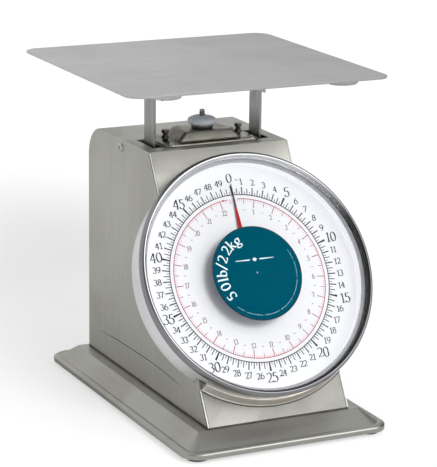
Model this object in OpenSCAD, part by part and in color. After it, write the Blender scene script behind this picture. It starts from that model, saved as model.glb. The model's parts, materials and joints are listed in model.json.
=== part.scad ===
// Mechanical dial platform scale: two extension springs carry the platform, and a
// rack and pinion turn the pointer. Millimetres, +Z up, front towards -Y, origin on
// the floor under the centre of the base.

/* [Base] */
// Width of the ledge beside the housing
side_ledge = 9.1; // [6:0.1:14]
// Width of the ledge in front of the housing
front_ledge = 0.6; // [0.4:0.1:8]
// Width of the ledge behind the housing
rear_ledge = 4.4; // [2:0.1:10]
// Run of the sloping skirt at the sides
skirt_run_x = 18.6; // [14:0.1:26]
// Run of the sloping skirt at front and rear
skirt_run_y = 21.8; // [16:0.1:28]
// Height of the upright lip
lip_h = 4.4; // [3:0.1:6]
// Height of the plinth from lip to top
plinth_h = 15.4; // [13:0.1:22]
// Corner radius of the lip
base_r = 15; // [12:0.5:20]
// Thickness of the plinth's sheet
base_t = 1.2; // [0.8:0.1:1.6]
// Width of the inward flange under the lip
flange_w = 20; // [18:1:26]
// Height of a rubber foot
foot_h = 3; // [2:0.5:6]
// Radius of a rubber foot
foot_r = 9; // [7:0.5:10]

/* [Housing] */
// Outside width of the housing
shell_w = 125; // [110:1:150]
// Outside depth of the housing at its foot
shell_d = 240; // [225:1:290]
// Height of the flat top above the floor
shell_top = 217; // [205:1:262]
// Lean of the front panel from the vertical, in degrees
tilt = 30; // [28:1:32]
// Radius of the rear top bend
rear_r = 27; // [15:1:32]
// Thickness of the housing's sheet
sheet_t = 1; // [0.8:0.1:1.4]
// Gap under the housing's lower edge
shell_gap = 0.8; // [0.4:0.1:2]

/* [Dial] */
// Outside radius of the dial drum
drum_r = 97.5; // [80:0.5:100]
// Depth of the drum behind the front panel
drum_back = 9.7; // [8:0.1:14]
// Height of the drum's rim in front of the panel
drum_front = 14.6; // [12:0.1:20]
// Height of the printed face in front of the panel
dial_face = 3.7; // [3:0.1:6]
// Rise of the dial's centre above the panel's middle
dial_rise = 1.1; // [0:0.1:3]
// Width of the rolled bezel across its section
bezel_w = 8; // [6:0.5:10]
// Radius of the disc under the lens
disc_r = 39.1; // [30:0.1:45]

/* [Platform] */
// Side of the square platform
platform_side = 229; // [190:1:276]
// Thickness of the platform plate
platform_t = 1.5; // [1:0.1:3]
// Corner radius of the platform
platform_r = 14; // [6:1:24]
// Height of the platform's top above the housing's top
platform_rise = 63.5; // [58:0.5:80]
// Setback of the weighing gear from the top front edge
gear_setback = 33.2; // [30:0.1:40]
// Thickness of a post across the scale
post_t = 2.4; // [2:0.1:3.2]
// Width of a post along the scale
post_w = 18.4; // [14:0.1:22]
// Height of the cups under the platform
cup_h = 4.4; // [3:0.1:6]
// Radius of the cups under the platform
cup_r = 13.3; // [10:0.1:18]

/* [Movement] */
// Teeth on the pinion
pinion_teeth = 16; // [14:1:18]
// Tooth module
tooth_m = 0.5; // [0.45:0.01:0.55]
// Thickness of the pinion
pinion_t = 4; // [3:0.5:5]
// Radius of the pointer shaft
shaft_r = 1.5; // [1.2:0.1:2]
// Radius of the coils of a weighing spring
spring_r = 7; // [5:0.5:7.5]
// Radius of the spring wire
wire_r = 1; // [0.6:0.1:1.2]
// Coils in a weighing spring
spring_turns = 14; // [8:1:20]
// Radius of the check links' axles
axle_r = 3; // [2:0.1:4]
// Radius of the studs that the check links carry
stud_r = 2.5; // [2:0.1:3]
// Radius of the rack's drive pin
drive_pin_r = 2; // [1.5:0.1:2.5]
// Radius of the dashpot's bore
dashpot_r = 10.5; // [8:0.5:13]

/* [Zero adjustment] */
// Radius of the zero knob
knob_r = 12; // [9:0.5:15]
// Height of the zero knob
knob_h = 6; // [5:0.5:9]
// Radius of the threaded stud
adjuster_r = 2.2; // [1.5:0.1:3]
// Travel of the spring bridge each way
zero_travel = 1; // [0.5:0.1:1.2]

/* [Clearances] */
// Gap between pieces that move past each other
move_gap = 0.3; // [0.3:0.05:0.5]
// Radial clearance of a running shaft
run_gap = 0.05; // [0.02:0.01:0.1]
// Gap between sheets that butt
seam = 0.2; // [0.1:0.05:0.4]

/* [Hidden] */
$fn = 64;
slice = 0.01;
past = 1; // how far a cutter runs past what it cuts

// Base
plinth_top_w = shell_w + 2 * side_ledge;
plinth_top_d = shell_d + front_ledge + rear_ledge;
base_w = plinth_top_w + 2 * skirt_run_x;
base_d = plinth_top_d + 2 * skirt_run_y;
floor_z = foot_h + plinth_h;
bead_w = 5;
bead_h = 1.6;
foot_inset = 14;
foot_screw_r = 2;
plate_gap = 0.5;
plate_t = 1;

// Housing
shell_z = floor_z + shell_gap;
front_y = -plinth_top_d / 2 + front_ledge;
rear_y = front_y + shell_d;
inner_w = shell_w - 2 * sheet_t;
top_front_y = front_y + (shell_top - shell_z) * tan(tilt);
gear_y = top_front_y + gear_setback;
top_under = shell_top - sheet_t;
wrap_rear_z = shell_top - rear_r - 6;
side_flange_h = 12;
rear_flange_w = 12;

// Dial: drum_cut is the hole that the drum needs, notch_h half the length of the side notch
dial_z = (shell_z + shell_top) / 2 + dial_rise;
dial_y = front_y + (dial_z - shell_z) * tan(tilt);
drum_t = 1;
drum_cut = drum_r + 0.6;
notch_h = sqrt(pow(drum_cut, 2) - pow(shell_w / 2, 2));
dial_t = 0.8;
dial_back = dial_face - dial_t;
plate_r = drum_r - 2.5;
lens_r = drum_r - 0.6;
lens_shoulder_r = drum_r - 13.5;
lens_t = 1.6;
lens_rise = 2.4;
gasket_t = 1;
lens_w = drum_front + gasket_t;
lens_top = lens_w + lens_t;
bezel_t = 0.8;
bezel_h = 4.6;
bezel_mid = drum_r - 0.3;
bezel_skirt = 3;
pointer_r = drum_r - 18.5;
pointer_w = 5;
dial_screw_r = 28;

// Chassis: two side plates, a bulkhead that carries the dial and a bridge at the top
chassis_t = 2;
chassis_gap = 5.5;
chassis_x = inner_w / 2 - chassis_gap - chassis_t;
chassis_rear = rear_y - 6;
bulkhead_t = 1.5;
bulkhead_w = -drum_back - bulkhead_t;
chassis_flange = 12;
bridge_t = 2.5;
bridge_z = top_under - bridge_t;
bridge_d = 52;
slot_w = 9;
slot_d = 34;
chassis_screw_r = 2;

// Carriage
post_gap = 4.6;
post_out = chassis_x - post_gap;
post_in = post_out - post_t;
post_y = gear_y - 2.3;
platform_top = shell_top + platform_rise;
platform_under = platform_top - platform_t;
crossbar_z = floor_z + 67.6;
crossbar_t = 4;
cup_x = platform_side / 2 - 36.7;
cup_y = platform_side / 2 - 19;
anchor_r = 3;
anchor_h = 7;
carriage_bolt_r = 2;

// Rack and pinion: the pinion turns once for the whole weighing travel
pitch_r = pinion_teeth * tooth_m / 2;
tooth_pitch = PI * tooth_m;
rack_travel = pinion_teeth * tooth_pitch;
travel = rack_travel * cos(tilt);
addendum = 0.8 * tooth_m;
dedendum = 1.2 * tooth_m;
pressure = 20;
backlash = 0.15;
gear_w = -20;
rack_t = 3;
rack_h = 4.5;
rack_back = pitch_r + dedendum + rack_h;
rack_foot_v = 62;
drive_y = dial_y + rack_foot_v * sin(tilt) - gear_w * cos(tilt);
drive_z = dial_z + rack_foot_v * cos(tilt) + gear_w * sin(tilt);
drive_slot = rack_travel * sin(tilt) + 2 * move_gap;
bar_y = gear_y - 17.5;
bar_h = 12;
arm_x = rack_back + 1.5;
bearing_w = -26;
bearing_t = 1.5;
bush_r = 5;
pillar_x = 22;
pillar_v = 18;

// Check links, which start as far above level as they end below it
link_axle_y = chassis_rear - 12;
link_l = link_axle_y - post_y;
link_rise = travel / 2;
upper_link_z = shell_top - 29;
lower_link_z = crossbar_z + 18;
link_t = 2;
link_x = post_in - 4.5;
link_h = 10;

// Springs and zero adjustment
hanger_x = 33.4;
spring_bridge_z = shell_top - 21;
spring_bridge_t = 6;
spring_top = shell_top - 28;
spring_foot = crossbar_z + crossbar_t + anchor_h;
saddle_t = 1.5;
saddle_h = 9.5;
saddle_w = 84;
saddle_d = 46;
saddle_top = shell_top + saddle_h;
hanger_nut_z = shell_top + saddle_t + zero_travel + 0.5;
collar_r = 9;
collar_h = 2.7;
collar_z = saddle_top + move_gap;
knob_z = collar_z + collar_h;
stud_top = shell_top + 24.6;

// Dashpot and overload stops
dashpot_h = 39.6;
dashpot_wall = 2;
dashpot_rod_r = 2;
piston_z = crossbar_z - 38.5;
stop_x = post_in - 11;
stop_r = 5;
stop_pad_h = 3;
stop_gap = 0.6;
stop_top = crossbar_z - travel - stop_gap;

// Shared shapes

module rounded_rect(w, d, r) {
    square([w - 2 * r, d], center = true);
    square([w, d - 2 * r], center = true);
    for (x = [-1, 1], y = [-1, 1])
        translate([x * (w / 2 - r), y * (d / 2 - r)]) circle(r);
}

module slab(w, d, r, t) {
    linear_extrude(height = t) rounded_rect(w, d, r);
}

// A box given by its lowest and highest corners
module span(low, high) {
    translate(low) cube(high - low);
}

// An outline drawn as (y, z), extruded between two places across the scale
module across(x0, x1) {
    translate([x0, 0, 0]) rotate([90, 0, 90]) linear_extrude(height = x1 - x0) children();
}

// A rod along X
module rod_x(r, x0, x1, y, z) {
    translate([x0, y, z]) rotate([0, 90, 0]) cylinder(r = r, h = x1 - x0);
}

// The dial's own frame: X across, Y up the sloping panel, Z out of the dial
module on_dial() {
    translate([0, dial_y, dial_z]) rotate([90 - tilt, 0, 0]) children();
}

module disc(r, low, high) {
    translate([0, 0, low]) cylinder(r = r, h = high - low, $fn = 128);
}

module ring(r_out, r_in, low, high) {
    translate([0, 0, low]) difference() {
        cylinder(r = r_out, h = high - low, $fn = 128);
        translate([0, 0, -past]) cylinder(r = r_in, h = high - low + 2 * past, $fn = 128);
    }
}

// Pan-head screw, head standing up from z = 0, shank going down
module pan_screw(head_r, head_h, shank_r, shank_l) {
    rotate_extrude() polygon(concat([[0, 0], [head_r, 0]],
        [for (a = [0:15:90]) [head_r - head_h + head_h * cos(a), head_h * sin(a)]], [[0, head_h]]));
    translate([0, 0, -shank_l]) cylinder(r = shank_r, h = shank_l);
}

// Base

module plinth_form(inset) {
    w = base_w - 2 * inset;
    d = base_d - 2 * inset;
    r = base_r - inset;
    lip_top = foot_h + lip_h;
    crease = lip_top + bead_h - inset / 2;
    translate([0, 0, foot_h + inset]) slab(w, d, r, lip_h - inset);
    hull() {
        translate([0, 0, lip_top - slice]) slab(w, d, r, slice);
        translate([0, 0, crease]) slab(w - 2 * bead_w, d - 2 * bead_w, r - bead_w / 2, slice);
    }
    hull() {
        translate([0, 0, crease]) slab(w - 2 * bead_w, d - 2 * bead_w, r - bead_w / 2, slice);
        translate([0, 0, floor_z - inset - slice])
            slab(plinth_top_w - 2 * inset, plinth_top_d - 2 * inset, 1.5, slice);
    }
}

module at_feet() {
    for (x = [-1, 1], y = [-1, 1])
        translate([x * (base_w / 2 - foot_inset), y * (base_d / 2 - foot_inset), 0]) children();
}

module at_chassis_feet() {
    for (x = [-1, 1], y = [front_y + 45, 20, chassis_rear - 12])
        translate([x * (chassis_x - 6), y, floor_z]) children();
}

module base_plinth() color("#96968f") difference() {
    plinth_form(0);
    plinth_form(base_t);
    translate([0, 0, foot_h - past])
        slab(base_w - 2 * flange_w, base_d - 2 * flange_w, 6, base_t + 2 * past);
    at_feet() cylinder(r = foot_screw_r, h = foot_h + base_t + past);
    at_chassis_feet() translate([0, 0, -base_t - past])
        cylinder(r = chassis_screw_r, h = base_t + 2 * past);
}

module bottom_plate() color("#8a8a85") difference() {
    translate([0, 0, foot_h + base_t])
        slab(base_w - 2 * (base_t + plate_gap), base_d - 2 * (base_t + plate_gap),
            base_r - base_t - plate_gap, plate_t);
    at_feet() cylinder(r = foot_screw_r, h = floor_z);
}

module rubber_feet() color("#222222") at_feet() difference() {
    cylinder(r = foot_r, h = foot_h);
    translate([0, 0, -past]) cylinder(r = foot_r / 2, h = foot_h / 2 + past);
    cylinder(r = foot_screw_r, h = foot_h + past);
}

module foot_screws() color("#9a9a9a") at_feet()
    translate([0, 0, foot_h / 2]) mirror([0, 0, 1])
        pan_screw(3.6, 1.2, foot_screw_r, foot_h / 2 + base_t + plate_t + 1.5);

// Chassis

module chassis_side() color("#8e8e8c") difference() {
    union() {
        across(chassis_x, chassis_x + chassis_t) difference() {
            polygon([[front_y, floor_z], [chassis_rear, floor_z], [chassis_rear, shell_top - 40],
                [chassis_rear - 17, bridge_z], [top_front_y, bridge_z]]);
            // everything in front of the bulkhead
            polygon([for (z = [0, shell_top]) [bulkhead_back(z), z],
                [-base_d, shell_top], [-base_d, 0]]);
        }
        span([chassis_x - chassis_flange, bulkhead_back(floor_z) + 4, floor_z],
            [chassis_x + slice, chassis_rear, floor_z + chassis_t]);
        on_dial() span([chassis_x - chassis_flange, -notch_h + 4, bulkhead_w - chassis_t],
            [chassis_x + slice, notch_h - 4, bulkhead_w]);
        for (end = [-1, 1]) chassis_tab(end);
    }
    at_chassis_feet() translate([0, 0, -past]) cylinder(r = chassis_screw_r, h = 10);
    at_bridge_screws() cylinder(r = chassis_screw_r, h = 10, center = true);
    link_axle_rods(axle_r);
    on_dial() at_bulkhead_screws() cylinder(r = chassis_screw_r, h = 20, center = true);
}

// Where the bulkhead's back face is, at a height
function bulkhead_back(z) = dial_y + (z - dial_z) * tan(tilt) - bulkhead_w / cos(tilt);

// Tabs at the top of a side plate, in front of the post slot and behind it
module chassis_tab(end) {
    edge = end < 0 ? gear_y - bridge_d / 2 : gear_y + slot_d / 2 + 0.5;
    span([chassis_x - chassis_flange, edge, bridge_z - chassis_t],
        [chassis_x + slice, edge + (bridge_d - slot_d) / 2 - 0.5, bridge_z]);
}

module at_bridge_screws() {
    for (x = [-1, 1], y = [-1, 1])
        translate([x * (chassis_x - 6), gear_y + y * (slot_d + bridge_d) / 4, bridge_z]) children();
}

module at_bulkhead_screws() {
    for (x = [-1, 1], v = [-1, 0, 1])
        translate([x * (chassis_x - 6), v * (notch_h - 12), bulkhead_w]) children();
}

module chassis_left() mirror([1, 0, 0]) chassis_side();
module chassis_right() chassis_side();

module chassis_bridge() color("#8e8e8c") difference() {
    translate([0, gear_y, bridge_z])
        slab(2 * (chassis_x + chassis_t), bridge_d, 1, bridge_t);
    for (x = [-1, 1]) translate([x * (chassis_x + chassis_t), gear_y, bridge_z + bridge_t / 2])
        cube([2 * (chassis_x + chassis_t - (post_in + post_out) / 2 + slot_w / 2), slot_d,
            bridge_t + 2 * past], center = true);
    at_bridge_screws() translate([0, 0, -past]) cylinder(r = chassis_screw_r, h = 10);
    at_hangers() cylinder(r = 3.2, h = 2 * shell_top);
    translate([0, gear_y, 0]) cylinder(r = adjuster_r + 1, h = shell_top);
    at_saddle_screws() cylinder(r = 1.5, h = 20, center = true);
}

module chassis_screws() color("#b5b5b5") {
    at_chassis_feet() translate([0, 0, chassis_t]) pan_screw(3.5, 2, chassis_screw_r, 8);
    at_bridge_screws() translate([0, 0, -chassis_t]) mirror([0, 0, 1])
        pan_screw(3.2, 1.8, chassis_screw_r, chassis_t + bridge_t);
    on_dial() at_bulkhead_screws() translate([0, 0, -chassis_t]) mirror([0, 0, 1])
        pan_screw(3.2, 1.8, chassis_screw_r, chassis_t + bulkhead_t);
}

module dial_bulkhead() color("#8e8e8c") on_dial() difference() {
    span([-inner_w / 2 + seam, -notch_h + seam, bulkhead_w],
        [inner_w / 2 - seam, notch_h - seam, bulkhead_w + bulkhead_t]);
    cylinder(r = bush_r, h = 40, center = true);
    at_drum_screws() cylinder(r = 1.5, h = 10, center = true);
    at_bulkhead_screws() cylinder(r = chassis_screw_r, h = 10, center = true);
}

// Movement

module movement_pillars() color("#c8a85a") on_dial()
    for (x = [-1, 1], v = [-1, 1]) translate([x * pillar_x, v * pillar_v, bearing_w])
        cylinder(r = 3, h = bulkhead_w - bearing_w);

module bearing_plate() color("#c8a85a") on_dial() difference() {
    translate([0, 0, bearing_w - bearing_t])
        slab(2 * pillar_x + 12, 2 * pillar_v + 12, 4, bearing_t);
    cylinder(r = bush_r, h = 80, center = true);
}

module shaft_bushes() color("#b08d3e") on_dial() {
    ring(bush_r, shaft_r + run_gap, bulkhead_w - 1.5, -drum_back + drum_t);
    ring(bush_r, shaft_r + run_gap, bearing_w - bearing_t - 1, bearing_w + 1);
}

module rack_guide() color("#d8d2c0") on_dial() difference() {
    span([rack_back + move_gap - 2, -10, bearing_w], [rack_back + 6, 10, bulkhead_w]);
    span([rack_back - 10, -20, gear_w - rack_t / 2 - move_gap],
        [rack_back + move_gap, 20, gear_w + rack_t / 2 + move_gap]);
}

module link_axle_rods(r) {
    for (z = [upper_link_z, lower_link_z])
        rod_x(r, -chassis_x - chassis_t, chassis_x + chassis_t, link_axle_y, z - link_rise);
}

module link_axles() color("#b9b9b9") link_axle_rods(axle_r);

module axle_spacers() color("#b08d3e") for (s = [-1, 1], z = [upper_link_z, lower_link_z])
    difference() {
        x0 = link_x + link_t + move_gap;
        rod_x(axle_r + 2, s > 0 ? x0 : -chassis_x, s > 0 ? chassis_x : -x0,
            link_axle_y, z - link_rise);
        link_axle_rods(axle_r);
    }

module dashpot_cylinder() color("#a5a5a0") translate([0, gear_y, floor_z]) {
    ring(dashpot_r + dashpot_wall, dashpot_r, 0, dashpot_h);
    disc(dashpot_r + dashpot_wall, 0, dashpot_wall);
    ring(dashpot_r + 8, dashpot_r, 0, dashpot_wall);
}

module dashpot_cap() color("#7d7d7a") translate([0, gear_y, floor_z + dashpot_h])
    ring(dashpot_r + dashpot_wall, dashpot_rod_r + move_gap, 0, 2.5);

module overload_stops() color("#8e8e8c") for (x = [-stop_x, stop_x])
    translate([x, gear_y, floor_z]) cylinder(r = stop_r, h = stop_top - stop_pad_h - floor_z);

module stop_pads() color("#222222") for (x = [-stop_x, stop_x])
    translate([x, gear_y, stop_top - stop_pad_h]) cylinder(r = stop_r, h = stop_pad_h);

// Housing

// Outline of the housing seen from the side, drawn in by inset
module shell_outline(inset) {
    top = shell_top - inset;
    rear = rear_y - inset;
    foot = front_y + inset / cos(tilt);
    head = foot + (top - shell_z) * tan(tilt);
    polygon([[foot, shell_z], [rear, shell_z], [rear, shell_top - rear_r],
        [rear_y - rear_r, top], [head, top]]);
    translate([rear_y - rear_r, shell_top - rear_r]) circle(rear_r - inset);
}

// The housing's sheet in section, open at the bottom
module shell_skin() difference() {
    shell_outline(0);
    shell_outline(sheet_t);
}

module drum_hole() on_dial() disc(drum_cut, -drum_back, drum_front + 40);

module at_saddle_screws() {
    for (x = [-1, 1], y = [-1, 1])
        translate([x * 36, gear_y + y * (saddle_d / 2 - 3.2), shell_top]) children();
}

module at_hangers() {
    for (x = [-1, 1]) translate([x * hanger_x, gear_y, 0]) children();
}

module at_side_screws() {
    for (s = [-1, 1]) translate([s * shell_w / 2, gear_y + 23.4, shell_top - 7.1])
        rotate([0, s * 90, 0]) children();
}

module at_rear_screws() {
    for (x = [-1, 1], z = [shell_z + 20, wrap_rear_z - 14])
        translate([x * (inner_w / 2 - rear_flange_w / 2), rear_y, z]) rotate([-90, 0, 0]) children();
}

module shell_wrap() color("#b9b7b0") difference() {
    union() {
        across(-inner_w / 2 + seam, inner_w / 2 - seam) intersection() {
            shell_skin();
            polygon([[front_y, dial_z], [rear_y - rear_r, dial_z], [rear_y - rear_r, wrap_rear_z],
                [rear_y, wrap_rear_z], [rear_y, shell_top], [front_y, shell_top]]);
        }
        // side flanges that the side panels are screwed to
        for (s = [-1, 1]) span([min(s * (inner_w / 2 - seam), s * (inner_w / 2 - seam - sheet_t)),
            top_front_y + 8, shell_top - side_flange_h],
            [max(s * (inner_w / 2 - seam), s * (inner_w / 2 - seam - sheet_t)),
            rear_y - rear_r, top_under + slice]);
    }
    drum_hole();
    for (s = [-1, 1]) translate([s * (post_in + post_out) / 2, gear_y - 2.5, shell_top])
        cube([slot_w, slot_d, 3 * sheet_t], center = true);
    at_hangers() cylinder(r = 3.2, h = shell_top + past);
    translate([0, gear_y, 0]) cylinder(r = adjuster_r + 1, h = shell_top + past);
    at_saddle_screws() cylinder(r = 1.5, h = 10, center = true);
    at_side_screws() cylinder(r = 1.5, h = 10, center = true);
}

module lower_front_panel() color("#b9b7b0") difference() {
    across(-inner_w / 2 + seam, inner_w / 2 - seam) intersection() {
        shell_skin();
        polygon([[front_y, shell_z], [dial_y, shell_z], [dial_y, dial_z - 1], [front_y, dial_z - 1]]);
    }
    drum_hole();
}

module side_panel() color("#94938c") difference() {
    union() {
        across(inner_w / 2, shell_w / 2) shell_outline(0);
        span([inner_w / 2 - rear_flange_w, rear_y - 2 * sheet_t, shell_z],
            [inner_w / 2 + slice, rear_y - sheet_t, wrap_rear_z - 2]);
    }
    drum_hole();
    on_dial() span([0, -notch_h, -drum_back], [shell_w, notch_h, 60]);
    at_side_screws() cylinder(r = 1.5, h = 10, center = true);
    at_rear_screws() cylinder(r = 1.5, h = 10, center = true);
}

module left_side_panel() mirror([1, 0, 0]) side_panel();
module right_side_panel() side_panel();

module rear_cover() color("#a3a29b") difference() {
    span([-inner_w / 2 + seam, rear_y - sheet_t, shell_z],
        [inner_w / 2 - seam, rear_y, wrap_rear_z - seam]);
    at_rear_screws() cylinder(r = 1.5, h = 10, center = true);
}

module rear_screws() color("#b5b5b5") at_rear_screws() pan_screw(3.4, 1.8, 1.5, 4);
module side_screws() color("#c2c2c2") at_side_screws() pan_screw(3.6, 1.9, 1.5, 5);

module top_saddle() color("#8d8a7b") translate([0, gear_y, shell_top]) difference() {
    union() {
        slab(saddle_w, saddle_d, 5, saddle_t);
        hull() {
            slab(58, 33, 3, saddle_t);
            translate([0, 0, saddle_h - slice]) slab(42, 27, 2, slice);
        }
    }
    hull() {
        translate([0, 0, -past]) slab(55, 30, 2, slice);
        translate([0, 0, saddle_h - saddle_t]) slab(39, 24, 1.5, slice);
    }
    for (x = [-1, 1]) translate([x * hanger_x, 0, -past]) cylinder(r = 3.2, h = 20);
    translate([0, 0, -past]) cylinder(r = adjuster_r + 1, h = 40);
    for (x = [-1, 1], y = [-1, 1]) translate([x * 36, y * (saddle_d / 2 - 3.2), -past])
        cylinder(r = 1.5, h = 10);
}

module saddle_screws() color("#c2c2c2") at_saddle_screws()
    translate([0, 0, saddle_t]) pan_screw(2.6, 1.6, 1.5, saddle_t + sheet_t + bridge_t);

// Dial

module at_drum_screws() for (a = [45:90:315])
    rotate([0, 0, a]) translate([48, 0, -drum_back]) children();

module at_dial_screws() for (a = [90:120:330])
    rotate([0, 0, a]) translate([dial_screw_r, 0, 0]) children();

module dial_drum() color("#dcdcdc") on_dial() difference() {
    disc(drum_r, -drum_back, drum_front);
    disc(drum_r - drum_t, -drum_back + drum_t, drum_front + past);
    cylinder(r = bush_r, h = 40, center = true);
    at_drum_screws() cylinder(r = 1.5, h = 10, center = true);
}

module drum_screws() color("#b5b5b5") on_dial() at_drum_screws()
    translate([0, 0, drum_t]) pan_screw(3, 1.8, 1.5, drum_t + bulkhead_t);

module dial_standoffs() color("#b9b9b9") on_dial() at_dial_screws() difference() {
    translate([0, 0, -drum_back + drum_t]) cylinder(r = 3, h = dial_back + drum_back - drum_t);
    cylinder(r = 1.2, h = 20, center = true);
}

module dial_plate() color("#f4f5f5") on_dial() difference() {
    disc(plate_r, dial_back, dial_face);
    cylinder(r = shaft_r + 1, h = 20, center = true);
    at_dial_screws() cylinder(r = 1.2, h = 20, center = true);
}

module dial_screws() color("#b5b5b5") on_dial() at_dial_screws()
    translate([0, 0, dial_face]) pan_screw(2, 0.6, 1.2, 5);

module lens_gasket() color("#333333") on_dial()
    ring(drum_r, drum_r - 4, drum_front, drum_front + gasket_t);

// A flat window standing on a shoulder, with a thin flange round it
module lens() color("#e8f0f4", 0.25) on_dial() rotate_extrude($fn = 128) polygon([
    [0, lens_w + lens_rise], [lens_shoulder_r, lens_w + lens_rise],
    [lens_shoulder_r + 3, lens_w], [lens_r, lens_w], [lens_r, lens_w + lens_t],
    [lens_shoulder_r + 4, lens_w + lens_t], [lens_shoulder_r + 1, lens_w + lens_rise + lens_t],
    [0, lens_w + lens_rise + lens_t]]);

module lens_disc() color("#00586f") on_dial()
    disc(disc_r, lens_w + lens_rise - 0.4, lens_w + lens_rise);

// A rolled ring: a skirt on the drum's wall, an oval over the rim and a lip down on the lens
module bezel_ring() color("#c9ccd0") on_dial() rotate_extrude($fn = 128) polygon(concat(
    [[drum_r + seam / 2 + bezel_t, drum_front - bezel_skirt],
        [drum_r + seam / 2 + bezel_t, drum_front - bezel_t]],
    bezel_oval([-50:10:180], 0),
    [[bezel_mid - bezel_w / 2, lens_top], [bezel_mid - bezel_w / 2 + bezel_t, lens_top]],
    bezel_oval([180:-10:-50], bezel_t),
    [[drum_r + seam / 2, drum_front - bezel_t + 0.3], [drum_r + seam / 2, drum_front - bezel_skirt]]));

function bezel_oval(angles, inset) = [for (a = angles)
    [bezel_mid + (bezel_w / 2 - inset) * cos(a), lens_top + 1.4 + (bezel_h - inset) * sin(a)]];

// Springs, swept along a helix. The first and last quarter turns stay on its axis, and the
// full turns next to them open out

function coil_r(t) = spring_r * max(0, min(1, min(t, 1 - t) * spring_turns - 0.25));

function coil_out(t) = let(a = 360 * max(0.25, min(spring_turns - 0.25, t * spring_turns)))
    [cos(a), sin(a), 0];

function coil_point(t) = coil_r(t) * coil_out(t)
    + [0, 0, spring_foot + seam / 2 + (spring_top - spring_foot - seam) * t];

// Corners of the wire's section at a place along it
function coil_ring(t, step, sides) = let(
    way = coil_point(min(1, t + step)) - coil_point(max(0, t - step)),
    along = (t == 0 || t == 1) ? [0, 0, 1] : way / norm(way),
    up = cross(along, coil_out(t)) / norm(cross(along, coil_out(t))),
    side = cross(up, along))
    [for (k = [0:sides - 1]) coil_point(t)
        + wire_r * (side * cos(360 * k / sides) + up * sin(360 * k / sides))];

module weighing_spring(x) color("#9fa3a6") translate([x, gear_y, 0]) {
    sides = 6;
    steps = spring_turns * 14;
    rings = [for (i = [0:steps]) coil_ring(i / steps, 1 / steps, sides)];
    polyhedron(points = [for (r = rings) for (p = r) p],
        faces = concat(
            [[for (k = [0:sides - 1]) k]],
            [for (i = [0:steps - 1], k = [0:sides - 1], half = [0, 1]) let(
                a = i * sides + k, b = i * sides + (k + 1) % sides)
                half == 0 ? [a, a + sides, b + sides] : [a, b + sides, b]],
            [[for (k = [sides - 1:-1:0]) steps * sides + k]]));
}

module weighing_spring_left() weighing_spring(-hanger_x);
module weighing_spring_right() weighing_spring(hanger_x);

// Carriage

module platform() color("#acaead") translate([0, gear_y, platform_under])
    slab(platform_side, platform_side, platform_r, platform_t);

module platform_cups() color("#b0b2b0")
    for (x = [-1, 1], y = [-1, 1]) translate([x * cup_x, gear_y + y * cup_y, platform_under])
        rotate_extrude() polygon(concat([[0, -cup_h + 1]], [[cup_r - 5, -cup_h + 1]],
            [[cup_r - 4, -cup_h]], [for (a = [0:30:90]) [cup_r - 2 + 2 * sin(a), -cup_h + 2 - 2 * cos(a)]],
            [[cup_r, 0], [0, 0]]));

module platform_brackets() color("#8e8e8c") difference() {
    union() for (s = [-1, 1]) {
        flat = [s * (post_in - 14), s * post_in];
        leg = [s * (post_in - 1.5), s * post_in];
        span([min(flat), gear_y - 23, platform_under - 1.5], [max(flat), gear_y + 23, platform_under]);
        span([min(leg), gear_y - 23, platform_under - 23], [max(leg), gear_y + 23, platform_under - 1]);
    }
    at_post_bolts() cylinder(r = carriage_bolt_r, h = 10, center = true);
}

module post() color("#a9abaa") difference() {
    span([post_in, post_y - post_w / 2, crossbar_z - 2],
        [post_out, post_y + post_w / 2, platform_under - 2]);
    at_post_bolts() cylinder(r = carriage_bolt_r, h = 10, center = true);
    at_bar_bolts() cylinder(r = carriage_bolt_r, h = 10, center = true);
    link_stud_rods(stud_r);
}

module post_left() mirror([1, 0, 0]) post();
module post_right() post();

// Bolt places on the posts' outer faces, pointing out
module at_post_bolts() for (s = [-1, 1], z = [platform_under - 10, platform_under - 18])
    translate([s * post_out, post_y, z]) rotate([0, s * 90, 0]) children();

module at_bar_bolts() for (s = [-1, 1], z = [drive_z, crossbar_z + 9])
    translate([s * post_out, post_y, z]) rotate([0, s * 90, 0]) children();

module carriage_bolts() color("#b5b5b5") {
    at_post_bolts() pan_screw(3.4, 1.8, carriage_bolt_r, post_t + 3);
    at_bar_bolts() pan_screw(3.4, 1.8, carriage_bolt_r, post_t + 2);
}

// Bar in front of the springs, with a tab on each post and an arm out to the rack
module drive_bar() color("#8e8e8c") difference() {
    union() {
        span([-post_in, bar_y, drive_z - bar_h / 2], [post_in, bar_y + 2, drive_z + bar_h / 2]);
        for (s = [-1, 1]) span([min(s * post_in, s * (post_in - 2)), bar_y, drive_z - bar_h / 2],
            [max(s * post_in, s * (post_in - 2)), post_y + 5, drive_z + bar_h / 2]);
        span([arm_x, drive_y - 5, drive_z - 5], [arm_x + 2, bar_y + slice, drive_z + 5]);
    }
    at_bar_bolts() cylinder(r = carriage_bolt_r, h = 12, center = true);
    rod_x(drive_pin_r, 0, arm_x + 10, drive_y, drive_z);
}

module drive_pin() color("#c0c0c0") rod_x(drive_pin_r, pitch_r, arm_x + 3, drive_y, drive_z);

module lower_crossbar() color("#8e8e8c") difference() {
    union() {
        span([-post_in, gear_y - 12, crossbar_z], [post_in, gear_y + 12, crossbar_z + crossbar_t]);
        for (s = [-1, 1]) span([min(s * post_in, s * (post_in - 2)), post_y - 8, crossbar_z],
            [max(s * post_in, s * (post_in - 2)), post_y + 8, crossbar_z + 13]);
    }
    at_bar_bolts() cylinder(r = carriage_bolt_r, h = 12, center = true);
    translate([0, gear_y, crossbar_z - past]) cylinder(r = dashpot_rod_r, h = 10);
}

module spring_anchors() color("#9a9a9a") at_hangers()
    translate([0, 0, crossbar_z + crossbar_t]) cylinder(r = anchor_r, h = anchor_h);

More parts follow.
